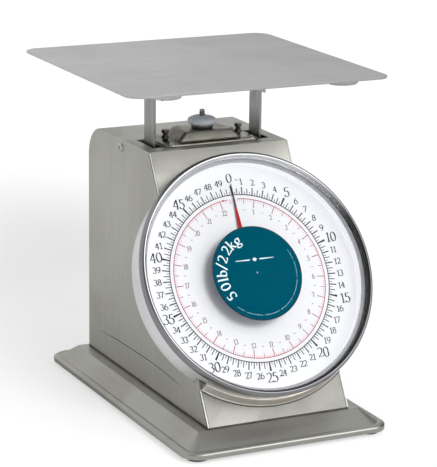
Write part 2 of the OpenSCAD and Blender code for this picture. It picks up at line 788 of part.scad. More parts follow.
module link_stud_rods(r) {
    for (s = [-1, 1], z = [upper_link_z, lower_link_z])
        rod_x(r, min(s * (link_x - 1), s * post_out), max(s * (link_x - 1), s * post_out), post_y, z);
}

module link_studs() color("#c0c0c0") link_stud_rods(stud_r);

module dashpot_piston() color("#b9b9b9") translate([0, gear_y, 0]) {
    translate([0, 0, piston_z]) cylinder(r = dashpot_r - move_gap, h = 5);
    translate([0, 0, piston_z]) cylinder(r = dashpot_rod_r, h = crossbar_z + crossbar_t - piston_z);
}

// Rack, pinion and pointer

function inv(a) = tan(a) * 180 / PI - a;

// Half the angle that a pinion tooth fills at a radius
function tooth_half(r) = 90 / pinion_teeth + inv(pressure)
    - inv(acos(min(1, pitch_r * cos(pressure) / r))) - backlash / 2 / r * 180 / PI;

module pinion_outline() {
    root = pitch_r - dedendum;
    base = max(root, pitch_r * cos(pressure));
    polygon([for (i = [0:pinion_teeth - 1], p = [
            [root, -tooth_half(base)], [base, -tooth_half(base)], [pitch_r, -tooth_half(pitch_r)],
            [pitch_r + addendum, -tooth_half(pitch_r + addendum)],
            [pitch_r + addendum, tooth_half(pitch_r + addendum)],
            [pitch_r, tooth_half(pitch_r)], [base, tooth_half(base)], [root, tooth_half(base)]])
        let(a = i * 360 / pinion_teeth + p[1]) p[0] * [cos(a), sin(a)]]);
}

module pinion() color("#c8a85a") on_dial() difference() {
    translate([0, 0, gear_w - pinion_t / 2]) linear_extrude(height = pinion_t) pinion_outline();
    cylinder(r = shaft_r, h = 80, center = true);
}

module pinion_shaft() color("#b9b9b9") on_dial() disc(shaft_r, bearing_w - bearing_t - 1, 8);

// A tooth of the rack, its tip towards the pinion
module rack_tooth() {
    half = tooth_pitch / 4 - backlash / 2;
    lean = tan(pressure);
    polygon([[pitch_r - addendum, -half + addendum * lean], [pitch_r - addendum, half - addendum * lean],
        [pitch_r + dedendum + slice, half + dedendum * lean],
        [pitch_r + dedendum + slice, -half - dedendum * lean]]);
}

module rack() color("#c8a85a") difference() {
    union() {
        on_dial() translate([0, 0, gear_w - rack_t / 2]) linear_extrude(height = rack_t) {
            first = -4.5 * tooth_pitch;
            for (i = [0:pinion_teeth + 7]) translate([0, first + i * tooth_pitch]) rack_tooth();
            translate([pitch_r + dedendum, first - tooth_pitch])
                square([rack_h, rack_foot_v - 4 - first + tooth_pitch]);
        }
        span([pitch_r + dedendum, drive_y - 5, drive_z - 5],
            [pitch_r + dedendum + rack_t, drive_y + drive_slot + 5, drive_z + 5]);
    }
    // the slot that the drive pin slides along
    for (y = [drive_y, drive_y + drive_slot - 2 * move_gap])
        rod_x(drive_pin_r + move_gap, 0, rack_back + past, y, drive_z);
    span([0, drive_y, drive_z - drive_pin_r - move_gap],
        [rack_back + past, drive_y + drive_slot - 2 * move_gap, drive_z + drive_pin_r + move_gap]);
}

module pointer() color("#c0202a") on_dial() translate([0, 0, pointer_w]) difference() {
    union() {
        cylinder(r = 5, h = 2);
        linear_extrude(height = 0.6) polygon([[-2.6, -26], [2.6, -26], [1.9, 0], [1.9, disc_r],
            [0.5, pointer_r - 20], [0.2, pointer_r], [-0.2, pointer_r], [-0.5, pointer_r - 20],
            [-1.9, disc_r], [-1.9, 0]]);
    }
    cylinder(r = shaft_r, h = 20, center = true);
}

// Check links: a slot at the post, an eye at the axle

module check_links(z) {
    turn = atan2(link_rise, sqrt(pow(link_l, 2) - pow(link_rise, 2)));
    for (s = [-1, 1]) translate([s > 0 ? link_x : -link_x - link_t, link_axle_y, z - link_rise])
        rotate([-turn, 0, 0]) difference() {
            union() {
                rod_x(axle_r + 3, 0, link_t, 0, 0);
                rod_x(link_h / 2, 0, link_t, -link_l, 0);
                span([0, -link_l, -link_h / 2], [link_t, 0, link_h / 2]);
            }
            rod_x(axle_r + run_gap, -past, link_t + past, 0, 0);
            for (y = [-1.2, 1.2]) rod_x(stud_r + move_gap, -past, link_t + past, y - link_l, 0);
            span([-past, -link_l - 1.2, -stud_r - move_gap],
                [link_t + past, -link_l + 1.2, stud_r + move_gap]);
        }
}

module upper_check_links() color("#a0a09c") check_links(upper_link_z);
module lower_check_links() color("#a0a09c") check_links(lower_link_z);

// Zero adjustment

module spring_bridge() color("#8e8e8c") difference() {
    translate([0, gear_y, spring_bridge_z]) slab(2 * hanger_x + 13, 14, 4, spring_bridge_t);
    at_hangers() cylinder(r = 2.5, h = shell_top);
    translate([0, gear_y, 0]) cylinder(r = adjuster_r, h = shell_top);
}

// The middle stud, which the knob pulls up, and the two screws that hold the springs
module adjuster_screws() color("#55534c") {
    translate([0, gear_y, spring_bridge_z]) difference() {
        cylinder(r = adjuster_r, h = stud_top - spring_bridge_z);
        translate([-5, -0.4, stud_top - spring_bridge_z - 1.5]) cube([10, 0.8, 3]);
    }
    at_hangers() {
        translate([0, 0, spring_top]) cylinder(r = 2.5, h = shell_top + 10 - spring_top);
        for (z = [hanger_nut_z, hanger_nut_z + 4.4])
            translate([0, 0, z]) cylinder(r = 4.1, h = 2.6, $fn = 6);
    }
}

module zero_knob() color("#b4c0ce") translate([0, gear_y, 0]) difference() {
    union() {
        translate([0, 0, collar_z]) cylinder(r = collar_r, h = collar_h + slice);
        translate([0, 0, knob_z]) rotate_extrude() polygon(concat([[0, 0], [knob_r - 4, 0]],
            [for (a = [-90:15:90]) [knob_r - knob_h / 2.2 + knob_h / 2.2 * cos(a),
                knob_h * 0.45 + knob_h * 0.4 * sin(a)]],
            [[adjuster_r + 3, knob_h], [0, knob_h]]));
    }
    cylinder(r = adjuster_r + move_gap, h = 2 * shell_top);
}

base_plinth();
bottom_plate();
rubber_feet();
foot_screws();
chassis_left();
chassis_right();
chassis_bridge();
chassis_screws();
dial_bulkhead();
movement_pillars();
bearing_plate();
shaft_bushes();
rack_guide();
link_axles();
axle_spacers();
dashpot_cylinder();
dashpot_cap();
overload_stops();
stop_pads();
shell_wrap();
lower_front_panel();
left_side_panel();
right_side_panel();
rear_cover();
rear_screws();
side_screws();
top_saddle();
saddle_screws();
dial_drum();
drum_screws();
dial_standoffs();
dial_plate();
dial_screws();
lens_gasket();
lens();
lens_disc();
bezel_ring();
weighing_spring_left();
weighing_spring_right();
platform();
platform_cups();
platform_brackets();
post_left();
post_right();
carriage_bolts();
drive_bar();
drive_pin();
lower_crossbar();
spring_anchors();
link_studs();
dashpot_piston();
rack();
pinion_shaft();
pinion();
pointer();
upper_check_links();
lower_check_links();
spring_bridge();
adjuster_screws();
zero_knob();
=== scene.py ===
import bpy
import bmesh
import json
from math import asin, atan2, cos, degrees, hypot, pi, radians, sin, tan
from mathutils import Matrix, Vector


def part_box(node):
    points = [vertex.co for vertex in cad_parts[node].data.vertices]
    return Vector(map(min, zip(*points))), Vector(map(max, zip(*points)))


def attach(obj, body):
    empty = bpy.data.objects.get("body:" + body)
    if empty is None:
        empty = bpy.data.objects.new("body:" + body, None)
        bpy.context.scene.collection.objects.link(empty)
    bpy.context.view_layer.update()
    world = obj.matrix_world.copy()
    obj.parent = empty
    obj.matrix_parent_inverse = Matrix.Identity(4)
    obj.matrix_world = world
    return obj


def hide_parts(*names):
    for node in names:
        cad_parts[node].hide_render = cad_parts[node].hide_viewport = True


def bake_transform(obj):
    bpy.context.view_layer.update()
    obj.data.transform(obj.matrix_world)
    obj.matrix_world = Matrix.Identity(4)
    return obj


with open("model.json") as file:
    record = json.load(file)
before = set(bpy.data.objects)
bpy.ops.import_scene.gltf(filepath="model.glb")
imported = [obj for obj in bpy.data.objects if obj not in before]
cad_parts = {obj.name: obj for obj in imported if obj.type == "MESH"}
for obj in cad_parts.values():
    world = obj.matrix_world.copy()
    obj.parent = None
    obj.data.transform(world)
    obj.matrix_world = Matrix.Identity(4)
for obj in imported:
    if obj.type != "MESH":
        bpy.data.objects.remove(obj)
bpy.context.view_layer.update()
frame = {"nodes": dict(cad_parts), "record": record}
mm = 0.001

# camera, fitted to the view: degrees and metres, the lens in millimetres
view = {"azimuth": -26.18, "elevation": 14.76, "roll": 0.71, "distance": 1.8752,
        "target": (0.0108, 0.01385, 0.137), "lens": 173.115, "sensor": 36}


def makeCamera():
    az, el, roll = (radians(view[k]) for k in ("azimuth", "elevation", "roll"))
    back = Vector((sin(az) * cos(el), -cos(az) * cos(el), sin(el)))
    right = Vector((0, 0, 1)).cross(back).normalized()
    up = back.cross(right)
    rightRolled = right * cos(roll) + up * sin(roll)
    upRolled = up * cos(roll) - right * sin(roll)
    data = bpy.data.cameras.new("studioCamera")
    data.lens = view["lens"]
    data.sensor_width = view["sensor"]
    data.clip_end = 50
    camera = bpy.data.objects.new("studioCamera", data)
    place = Matrix((rightRolled, upRolled, back)).transposed().to_4x4()
    place.translation = Vector(view["target"]) + back * view["distance"]
    camera.matrix_world = place
    bpy.context.collection.objects.link(camera)
    bpy.context.scene.camera = camera


makeCamera()
print("camera placed")


# shader helpers

def newMaterial(name):
    material = bpy.data.materials.new(name)
    material.use_nodes = True
    tree = material.node_tree
    return material, tree, tree.nodes["Principled BSDF"]


def addNode(tree, kind, values=None, **options):
    # each input takes a value, or a link when it is given another node's output
    node = tree.nodes.new(kind)
    for key, option in options.items():
        setattr(node, key, option)
    setInputs(tree, node, values or {})
    return node


def setInputs(tree, node, values):
    for key, value in values.items():
        if isinstance(value, bpy.types.NodeSocket):
            tree.links.new(value, node.inputs[key])
        else:
            node.inputs[key].default_value = value


def mathNode(tree, operation, a, b=None, clamp=False):
    values = {0: a} if b is None else {0: a, 1: b}
    return addNode(tree, "ShaderNodeMath", values, operation=operation, use_clamp=clamp).outputs[0]


def rangeNode(tree, value, low, high, toLow, toHigh, kind="LINEAR"):
    values = {"Value": value, "From Min": low, "From Max": high, "To Min": toLow, "To Max": toHigh}
    return addNode(tree, "ShaderNodeMapRange", values, interpolation_type=kind).outputs["Result"]


def noiseNode(tree, place, scale, detail, roughness, distortion=0):
    values = {"Vector": place, "Scale": scale, "Detail": detail, "Roughness": roughness,
              "Distortion": distortion}
    return addNode(tree, "ShaderNodeTexNoise", values).outputs["Fac"]


def dotNode(tree, vector, direction):
    return addNode(tree, "ShaderNodeVectorMath", {0: vector, 1: direction},
                   operation="DOT_PRODUCT").outputs["Value"]


def mixColour(tree, factor, a, b):
    values = {key: (*value, 1) if isinstance(value, tuple) else value
              for key, value in ((0, factor), (6, a), (7, b))}
    return addNode(tree, "ShaderNodeMix", values, data_type="RGBA", blend_type="MIX").outputs[2]


def placeOf(tree, output="Object"):
    return tree.nodes.new("ShaderNodeTexCoord").outputs[output]


def newGroup(name, inputs, outputs):
    group = bpy.data.node_groups.new(name, "ShaderNodeTree")
    for socket, value in inputs.items():
        made = group.interface.new_socket(name=socket, in_out="INPUT", socket_type="NodeSocketFloat")
        made.default_value = value
    for socket in outputs:
        group.interface.new_socket(name=socket, in_out="OUTPUT", socket_type="NodeSocketFloat")
    return group, group.nodes.new("NodeGroupInput").outputs, group.nodes.new("NodeGroupOutput")


def makeGrainGroup():
    # long fine lines left by the abrasive belt: cells per metre along each axis
    group, inlet, outlet = newGroup("brushedGrain", {"Across": 2600, "Up": 60, "Along": 2600, "Contrast": 1},
                                    ["Height", "Tone"])
    cells = addNode(group, "ShaderNodeCombineXYZ",
                    {"X": inlet["Across"], "Y": inlet["Along"], "Z": inlet["Up"]})
    scaled = addNode(group, "ShaderNodeVectorMath", {0: placeOf(group), 1: cells.outputs[0]},
                     operation="MULTIPLY")
    fine, coarse = (noiseNode(group, scaled.outputs[0], *kind) for kind in ((1, 4, 0.65), (0.23, 2, 0.5)))
    centred = mathNode(group, "SUBTRACT", mathNode(group, "ADD", fine, coarse), 1.0)
    setInputs(group, outlet, {"Height": fine, "Tone": mathNode(group, "MULTIPLY", centred, inlet["Contrast"])})
    return group


def makeSmudgeGroup():
    # soft patches of handling marks and uneven finish
    group, inlet, outlet = newGroup("handlingMarks", {"Size": 14, "Low": 0.42, "High": 0.68},
                                    ["Mask", "Speckle"])
    place = placeOf(group)
    patches = noiseNode(group, place, inlet["Size"], 5, 0.6, 0.6)
    setInputs(group, outlet,
              {"Mask": rangeNode(group, patches, inlet["Low"], inlet["High"], 0, 1, "SMOOTHSTEP"),
               "Speckle": noiseNode(group, place, 1700, 2, 0.7)})
    return group


def makeWearGroup():
    # edges rubbed brighter than the faces
    group, inlet, outlet = newGroup("edgeWear", {"Start": 0.53, "End": 0.62}, ["Mask"])
    edges = group.nodes.new("ShaderNodeNewGeometry").outputs["Pointiness"]
    breakUp = noiseNode(group, placeOf(group), 420, 3, 0.6)
    rubbed = mathNode(group, "MULTIPLY", rangeNode(group, edges, inlet["Start"], inlet["End"], 0, 1),
                      rangeNode(group, breakUp, 0.35, 0.6, 0.25, 1), clamp=True)
    setInputs(group, outlet, {"Mask": rubbed})
    return group


grainGroup = makeGrainGroup()
smudgeGroup = makeSmudgeGroup()
wearGroup = makeWearGroup()


def useGroup(tree, group, values=None):
    return addNode(tree, "ShaderNodeGroup", values, node_tree=group).outputs


def makeMetal(name, s):
    # brushed or turned metal from one settings dictionary
    material, tree, shader = newMaterial(name)
    grain = useGroup(tree, grainGroup, {"Across": s["cells"][0], "Along": s["cells"][1], "Up": s["cells"][2],
                                        "Contrast": s["contrast"]})
    marks = useGroup(tree, smudgeGroup, {"Size": s["patch"]})["Mask"]
    base = mixColour(tree, mathNode(tree, "MULTIPLY", marks, s["tarnish"]), s["colour"], s["dark"])
    tone = mathNode(tree, "ADD", grain["Tone"], 1.0)
    if "paintedLight" in s:  # painted light and shade: the colour lightens from one side to the other, as the light falls
        along = dotNode(tree, placeOf(tree), s.get("paintedLightAlong", (1, 0, 0)))
        tone = mathNode(tree, "MULTIPLY", tone,
                        rangeNode(tree, along, *s.get("paintedLightSpan", (-0.11, 0.11)), *s["paintedLight"]))
    toned = addNode(tree, "ShaderNodeVectorMath", {0: base, "Scale": tone}, operation="SCALE")
    rough = mathNode(tree, "ADD", rangeNode(tree, marks, 0, 1, *s["rough"]),
                     mathNode(tree, "MULTIPLY", grain["Tone"], 0.25), clamp=True)
    bump = addNode(tree, "ShaderNodeBump",
                   {"Strength": s["bump"], "Distance": 0.00005, "Height": grain["Height"]})
    setInputs(tree, shader, {"Metallic": s["metallic"], "Base Color": rubEdges(tree, s, toned.outputs[0]),
                             "Roughness": rough, "Normal": bump.outputs["Normal"]})
    return material


def rubEdges(tree, s, colour):
    if "wear" not in s:
        return colour
    rubbed = useGroup(tree, wearGroup)["Mask"]
    return mixColour(tree, mathNode(tree, "MULTIPLY", rubbed, s["wear"]), colour, s["bare"])


def makeCoat(name, s):
    # paint, moulded plastic, rubber or print from one settings dictionary
    material, tree, shader = newMaterial(name)
    marks = useGroup(tree, smudgeGroup, {"Size": s["patch"]})
    colour = mixColour(tree, mathNode(tree, "MULTIPLY", marks["Mask"], s["tarnish"]), s["colour"], s["dark"])
    bump = addNode(tree, "ShaderNodeBump",
                   {"Strength": s["bump"], "Distance": 0.00004, "Height": marks["Speckle"]})
    setInputs(tree, shader, {"Coat Weight": s["coat"], "Coat Roughness": 0.08, "Specular IOR Level": s["shine"],
                             "Emission Color": (*s["colour"], 1), "Emission Strength": s["glow"],
                             "Base Color": rubEdges(tree, s, colour),
                             "Roughness": rangeNode(tree, marks["Mask"], 0, 1, *s["rough"]),
                             "Normal": bump.outputs["Normal"]})
    return material


# finishes: colours are linear, cells are grain cells per metre along X, Y and Z
metalBasics = {"tarnish": 0.6, "contrast": 0.1, "bump": 0.1, "patch": 60, "metallic": 1.0}
metals = {
    "housingSteel": {"colour": (0.50, 0.495, 0.46), "dark": (0.44, 0.43, 0.385), "tarnish": 0.55,
        "rough": (0.36, 0.46), "bump": 0.25, "cells": (2400, 2400, 40), "contrast": 0.22, "patch": 9},
    # painted shade: a darker copy of the housing steel for the lower front panel, lighter to the left and
    # darker to the right
    "lowerSteelPaintedShade": {"colour": (0.34, 0.336, 0.315), "dark": (0.30, 0.294, 0.27), "tarnish": 0.5,
        "rough": (0.4, 0.5), "bump": 0.25, "cells": (2400, 2400, 40), "contrast": 0.2, "patch": 9,
        "paintedLight": (1.14, 0.8)},
    "plinthSteel": {"colour": (0.45, 0.445, 0.415), "dark": (0.38, 0.37, 0.335), "rough": (0.34, 0.45),
        "bump": 0.2, "cells": (60, 60, 2600), "contrast": 0.16, "patch": 10},
    # painted light: lighter to the left and darker to the right
    "platformSteel": {"colour": (0.50, 0.505, 0.50), "dark": (0.44, 0.44, 0.43), "tarnish": 0.4,
        "rough": (0.34, 0.42), "bump": 0.3, "cells": (30, 1300, 1300), "contrast": 0.34, "patch": 7,
        "paintedLight": (1.22, 0.92)},
    "postSteel": {"colour": (0.36, 0.355, 0.35), "dark": (0.28, 0.275, 0.26), "tarnish": 0.5,
        "rough": (0.3, 0.42), "bump": 0.3, "cells": (1500, 1500, 30), "contrast": 0.3, "patch": 30},
    "saddleSteel": {"colour": (0.30, 0.292, 0.25), "dark": (0.19, 0.183, 0.15), "tarnish": 0.7,
        "rough": (0.28, 0.42), "bump": 0.2, "cells": (60, 1800, 1800), "contrast": 0.18, "patch": 45,
        "wear": 0.5, "bare": (0.55, 0.54, 0.50)},
    # painted light: lighter towards the bottom
    "drumSatin": {"colour": (0.86, 0.865, 0.88), "dark": (0.80, 0.80, 0.81), "tarnish": 0.4,
        "rough": (0.32, 0.42), "cells": (90, 900, 900), "contrast": 0.08, "patch": 12, "metallic": 0.7,
        "paintedLight": (1.1, 0.95), "paintedLightAlong": (0, 0, 1), "paintedLightSpan": (0.086, 0.125)},
    # the bezel's three chromes are lit and shaded copies of one: the outer one dark, the lip pale as a painted
    # highlight that darkens to the lower right, the shade darker as painted shade, lighter towards the top
    "bezelChrome": {"colour": (0.30, 0.305, 0.315), "dark": (0.26, 0.265, 0.275), "tarnish": 0.35,
        "rough": (0.1, 0.15), "bump": 0.0, "cells": (500,) * 3, "contrast": 0.02, "patch": 25},
    "bezelPaintedHighlight": {"colour": (0.80, 0.805, 0.83), "dark": (0.72, 0.725, 0.75), "tarnish": 0.3,
        "rough": (0.12, 0.18), "bump": 0.0, "cells": (500,) * 3, "contrast": 0.02, "patch": 25,
        "paintedLight": (0.95, 0.08), "paintedLightAlong": (0.62, 0, -0.78), "paintedLightSpan": (-0.122, -0.07)},
    "bezelPaintedShade": {"colour": (0.20, 0.205, 0.215), "dark": (0.18, 0.185, 0.195), "tarnish": 0.3,
        "rough": (0.1, 0.15), "bump": 0.0, "cells": (500,) * 3, "contrast": 0.02, "patch": 25,
        "paintedLight": (1.0, 3.8), "paintedLightAlong": (0, 0, 1), "paintedLightSpan": (0.135, 0.178)},
    "cowlSteel": {"colour": (0.84, 0.80, 0.735), "dark": (0.68, 0.62, 0.55), "rough": (0.3, 0.42),
        "cells": (90, 900, 900), "contrast": 0.12, "patch": 26, "metallic": 0.75},
    # painted highlight: a bright copy of the sheet on the folded edges
    "foldPaintedHighlight": {"colour": (0.92, 0.915, 0.89), "dark": (0.80, 0.79, 0.76), "tarnish": 0.3,
        "rough": (0.3, 0.4), "bump": 0.05, "cells": (500,) * 3, "contrast": 0.05, "patch": 40,
        "metallic": 0.35},
    # dark at joints, and painted shade in the groove wall and the strip along the housing foot
    "seamDarkAndPaintedShade": {"colour": (0.09, 0.085, 0.075), "dark": (0.05, 0.048, 0.042), "rough": (0.5, 0.65),
        "cells": (400,) * 3, "metallic": 0.4},
    "studSteel": {"colour": (0.34, 0.34, 0.33), "dark": (0.20, 0.20, 0.19), "rough": (0.28, 0.4),
        "bump": 0.15, "cells": (700,) * 3, "contrast": 0.15, "patch": 120, "wear": 0.5,
        "bare": (0.6, 0.6, 0.58)},
    "chassisSteel": {"colour": (0.50, 0.50, 0.48), "dark": (0.38, 0.38, 0.37), "rough": (0.4, 0.58),
        "bump": 0.3, "cells": (400, 900, 400), "contrast": 0.12, "patch": 30, "wear": 0.4,
        "bare": (0.62, 0.62, 0.60)},
    "screwSteel": {"colour": (0.62, 0.62, 0.60), "dark": (0.42, 0.42, 0.40), "tarnish": 0.5,
        "rough": (0.2, 0.34), "bump": 0.15, "cells": (900,) * 3, "patch": 160, "wear": 0.6,
        "bare": (0.75, 0.75, 0.74)},
    "springSteel": {"colour": (0.50, 0.51, 0.52), "dark": (0.34, 0.35, 0.36), "tarnish": 0.5,
        "rough": (0.2, 0.3), "cells": (300,) * 3},
    "brassMetal": {"colour": (0.62, 0.45, 0.19), "dark": (0.42, 0.29, 0.11), "tarnish": 0.5,
        "rough": (0.22, 0.36), "bump": 0.15, "cells": (500, 500, 1600), "contrast": 0.12, "wear": 0.4,
        "bare": (0.75, 0.58, 0.28)},
    "darkSteel": {"colour": (0.15, 0.145, 0.13), "dark": (0.07, 0.065, 0.058), "rough": (0.32, 0.5),
        "bump": 0.2, "cells": (700,) * 3, "contrast": 0.15, "patch": 120, "wear": 0.45,
        "bare": (0.34, 0.33, 0.30)}}
coatBasics = {"tarnish": 0.6, "rough": (0.4, 0.5), "bump": 0.05, "patch": 60, "shine": 0.5, "coat": 0,
              "glow": 0}
coats = {
    "dialWhite": {"colour": (0.785, 0.78, 0.795), "dark": (0.755, 0.75, 0.77), "tarnish": 0.4,
        "rough": (0.42, 0.5), "bump": 0.02, "patch": 12, "shine": 0.05},
    # painted light: the inside of the drum glows so it reads evenly lit
    "rimWhitePaintedGlow": {"colour": (0.86, 0.86, 0.89), "dark": (0.83, 0.83, 0.86), "tarnish": 0.4,
        "rough": (0.5, 0.6), "bump": 0.02, "patch": 12, "shine": 0.0, "glow": 0.4},
    "printBlack": {"colour": (0.022, 0.023, 0.025), "dark": (0.045, 0.045, 0.048), "tarnish": 0.7,
        "shine": 0.08},
    "printRed": {"colour": (0.33, 0.055, 0.075), "dark": (0.40, 0.09, 0.11), "shine": 0.08},
    "printPink": {"colour": (0.72, 0.30, 0.31), "dark": (0.76, 0.40, 0.40), "shine": 0.08},
    "printGrey": {"colour": (0.21, 0.15, 0.155), "dark": (0.27, 0.21, 0.21), "shine": 0.08},
    "discTeal": {"colour": (0.0, 0.070, 0.113), "dark": (0.0, 0.078, 0.124), "tarnish": 0.5,
        "rough": (0.3, 0.38), "bump": 0.03, "patch": 30, "shine": 0.0},
    "discInk": {"colour": (0.78, 0.90, 0.91), "dark": (0.70, 0.84, 0.86), "tarnish": 0.5,
        "rough": (0.35, 0.45), "bump": 0.02, "shine": 0.05},
    "discPale": {"colour": (0.30, 0.50, 0.56), "dark": (0.22, 0.42, 0.49), "rough": (0.35, 0.45),
        "bump": 0.02, "shine": 0.05},
    "pointerRed": {"colour": (0.40, 0.012, 0.025), "dark": (0.32, 0.012, 0.02), "tarnish": 0.5,
        "rough": (0.3, 0.4), "shine": 0.08},
    "pointerBlack": {"colour": (0.03, 0.02, 0.022), "dark": (0.06, 0.03, 0.03), "tarnish": 0.5,
        "rough": (0.35, 0.45), "shine": 0.08},
    "knobPlastic": {"colour": (0.80, 0.87, 0.93), "dark": (0.70, 0.77, 0.83), "tarnish": 0.5,
        "rough": (0.34, 0.5), "bump": 0.12, "patch": 110, "coat": 0.1},
    "collarPlastic": {"colour": (0.07, 0.068, 0.06), "dark": (0.045, 0.043, 0.04), "rough": (0.4, 0.55),
        "bump": 0.15, "patch": 110},
    "nylonPale": {"colour": (0.68, 0.65, 0.56), "dark": (0.60, 0.56, 0.46), "rough": (0.42, 0.55),
        "bump": 0.15, "patch": 80},
    "gasketGrey": {"colour": (0.42, 0.425, 0.44), "dark": (0.36, 0.365, 0.38), "tarnish": 0.5,
        "rough": (0.5, 0.6), "bump": 0.1, "shine": 0.15},
    "rubberBlack": {"colour": (0.018, 0.018, 0.018), "dark": (0.035, 0.034, 0.032), "tarnish": 0.7,
        "rough": (0.62, 0.8), "bump": 0.15, "patch": 90, "shine": 0.15, "wear": 0.3,
        "bare": (0.08, 0.08, 0.078)}}
finish = {name: makeMetal(name, {**metalBasics, **own}) for name, own in metals.items()}
finish.update({name: makeCoat(name, {**coatBasics, **own}) for name, own in coats.items()})


def makeLensMaterial():
    # clear moulded window; light for the dial passes straight through
    material, tree, shader = newMaterial("lensClear")
    marks = useGroup(tree, smudgeGroup, {"Size": 16})["Mask"]
    setInputs(tree, shader, {"Transmission Weight": 1, "IOR": 1.035, "Metallic": 0,
                             "Roughness": rangeNode(tree, marks, 0, 1, 0.0, 0.012),
                             "Base Color": mixColour(tree, marks, (0.985, 0.99, 0.995), (0.975, 0.985, 0.99))})
    clear = addNode(tree, "ShaderNodeBsdfTransparent", {"Color": (0.97, 0.975, 0.98, 1)})
    path = tree.nodes.new("ShaderNodeLightPath").outputs
    blocked = mathNode(tree, "MAXIMUM", path["Is Shadow Ray"], path["Is Diffuse Ray"])
    mix = addNode(tree, "ShaderNodeMixShader", {0: blocked, 1: shader.outputs[0], 2: clear.outputs[0]})
    setInputs(tree, tree.nodes["Material Output"], {"Surface": mix.outputs[0]})
    return material


finish["lensClear"] = makeLensMaterial()
print("finishes made")

# what each slot of the record wears
slotFinish = {"plinth_steel": "plinthSteel", "rubber": "rubberBlack", "screw_steel": "screwSteel",
              "chassis_steel": "chassisSteel", "brass": "brassMetal", "nylon": "nylonPale",
              "housing_steel": "housingSteel", "saddle_steel": "saddleSteel", "drum_satin": "drumSatin",
              "dial_white": "dialWhite", "lens_clear": "lensClear", "disc_teal": "discTeal",
              "bezel_chrome": "bezelChrome", "spring_steel": "springSteel", "platform_steel": "platformSteel",
              "post_steel": "postSteel", "pointer_red": "pointerRed", "dark_steel": "darkSteel",
              "knob_plastic": "knobPlastic"}
ownFinish = {"lower_front_panel": "lowerSteelPaintedShade", "lens_gasket": "gasketGrey"}


# mesh helpers, in millimetres

def addPiece(name, shape, slotName, replaced=(), finishName=None, body="root", sharp=30):
    verts, faces = shape
    mesh = bpy.data.meshes.new(name)
    mesh.from_pydata([tuple(c * mm for c in v) for v in verts], [], faces)
    mesh.validate()
    shape = bmesh.new()
    shape.from_mesh(mesh)
    bmesh.ops.recalc_face_normals(shape, faces=shape.faces)
    shape.to_mesh(mesh)
    shape.free()
    mesh.polygons.foreach_set("use_smooth", [True] * len(mesh.polygons))
    mesh.set_sharp_from_angle(angle=radians(sharp))
    mesh.materials.append(finish[finishName or slotFinish[slotName]])
    piece = bpy.data.objects.new(name, mesh)
    bpy.context.collection.objects.link(piece)
    if body:
        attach(piece, body)
    if replaced:
        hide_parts(*replaced)
    return piece


def joinShapes(shapes):
    # several (verts, faces) pairs as one
    verts, faces = [], []
    for more, moreFaces in shapes:
        start = len(verts)
        verts += more
        faces += [[start + i for i in face] for face in moreFaces]
    return verts, faces


def bevelPath(points, steps=5):
    # rounds each corner of a path of (x, y, radius)
    out = []
    for i, (x, y, radius) in enumerate(points):
        here = Vector((x, y))
        if radius <= 0 or i in (0, len(points) - 1):
            out.append((x, y))
            continue
        before = Vector(points[i - 1][:2]) - here
        after = Vector(points[i + 1][:2]) - here
        half = before.angle(after) / 2
        run = min(radius / tan(half), 0.49 * before.length, 0.49 * after.length)
        radius = run * tan(half)
        start = here + before.normalized() * run
        end = here + after.normalized() * run
        centre = here + (before.normalized() + after.normalized()).normalized() * (radius / sin(half))
        a, b = start - centre, end - centre
        turn = a.angle_signed(b)
        for k in range(steps + 1):
            spoke = a.copy()
            spoke.rotate(Matrix.Rotation(-turn * k / steps, 2))
            out.append(tuple(centre + spoke))
    return out


def ringLoft(rings, looped=False):
    # joins rings of points into a skin, capped at both ends unless the last meets the first
    verts = [p for ring in rings for p in ring]
    size, rows = len(rings[0]), len(rings)
    faces = []
    for row in range(rows if looped else rows - 1):
        nextRow = (row + 1) % rows
        for i in range(size):
            j = (i + 1) % size
            faces.append([row * size + i, row * size + j, nextRow * size + j, nextRow * size + i])
    if not looped:
        faces.append(list(range(size))[::-1])
        faces.append([(rows - 1) * size + i for i in range(size)])
    return verts, faces


def rectRing(width, depth, radius, z, centre=(0, 0), corner=10):
    points = []
    for sx, sy, start in ((1, 1, 0), (-1, 1, 90), (-1, -1, 180), (1, -1, 270)):
        for k in range(corner + 1):
            a = radians(start + 90 * k / corner)
            points.append((centre[0] + sx * (width / 2 - radius) + radius * cos(a),
                           centre[1] + sy * (depth / 2 - radius) + radius * sin(a), z))
    return points


def lathe(profile, steps, place, closed=False):
    # turns (radius, height) points about an axis; place(x, y, height) puts a point
    verts, rows, faces = [], [], []
    for radius, height in profile:
        if radius < 1e-6:
            verts.append(place(0, 0, height))
            rows.append([len(verts) - 1] * steps)
            continue
        start = len(verts)
        for i in range(steps):
            a = 2 * pi * i / steps
            verts.append(place(radius * cos(a), radius * sin(a), height))
        rows.append(list(range(start, start + steps)))
    pairs = list(zip(rows, rows[1:])) + ([(rows[-1], rows[0])] if closed else [])
    for low, high in pairs:
        for i in range(steps):
            j = (i + 1) % steps
            ring = []
            for index in (low[i], low[j], high[j], high[i]):
                if index not in ring:
                    ring.append(index)
            if len(ring) > 2:
                faces.append(ring)
    return verts, faces


def circle(centre, radius, z, count, turn=0):
    return [(centre[0] + radius * cos(a), centre[1] + radius * sin(a), z)
            for a in (2 * pi * (k + turn) / count for k in range(count))]


def tube(path, radius, sides):
    # a wire along a path, flat at both ends
    points = [Vector(p) for p in path]
    rings = []
    normal = None
    for i, point in enumerate(points):
        along = (points[min(i + 1, len(points) - 1)] - points[max(i - 1, 0)]).normalized()
        if normal is None:
            normal = along.orthogonal().normalized()
        normal = (normal - along * normal.dot(along)).normalized()
        side = along.cross(normal)
        rings.append([tuple(point + radius * (normal * cos(a) + side * sin(a)))
                      for a in (2 * pi * k / sides for k in range(sides))])
    return ringLoft(rings)


def upright(centre):
    return lambda x, y, z: (centre[0] + x, centre[1] + y, centre[2] + z)


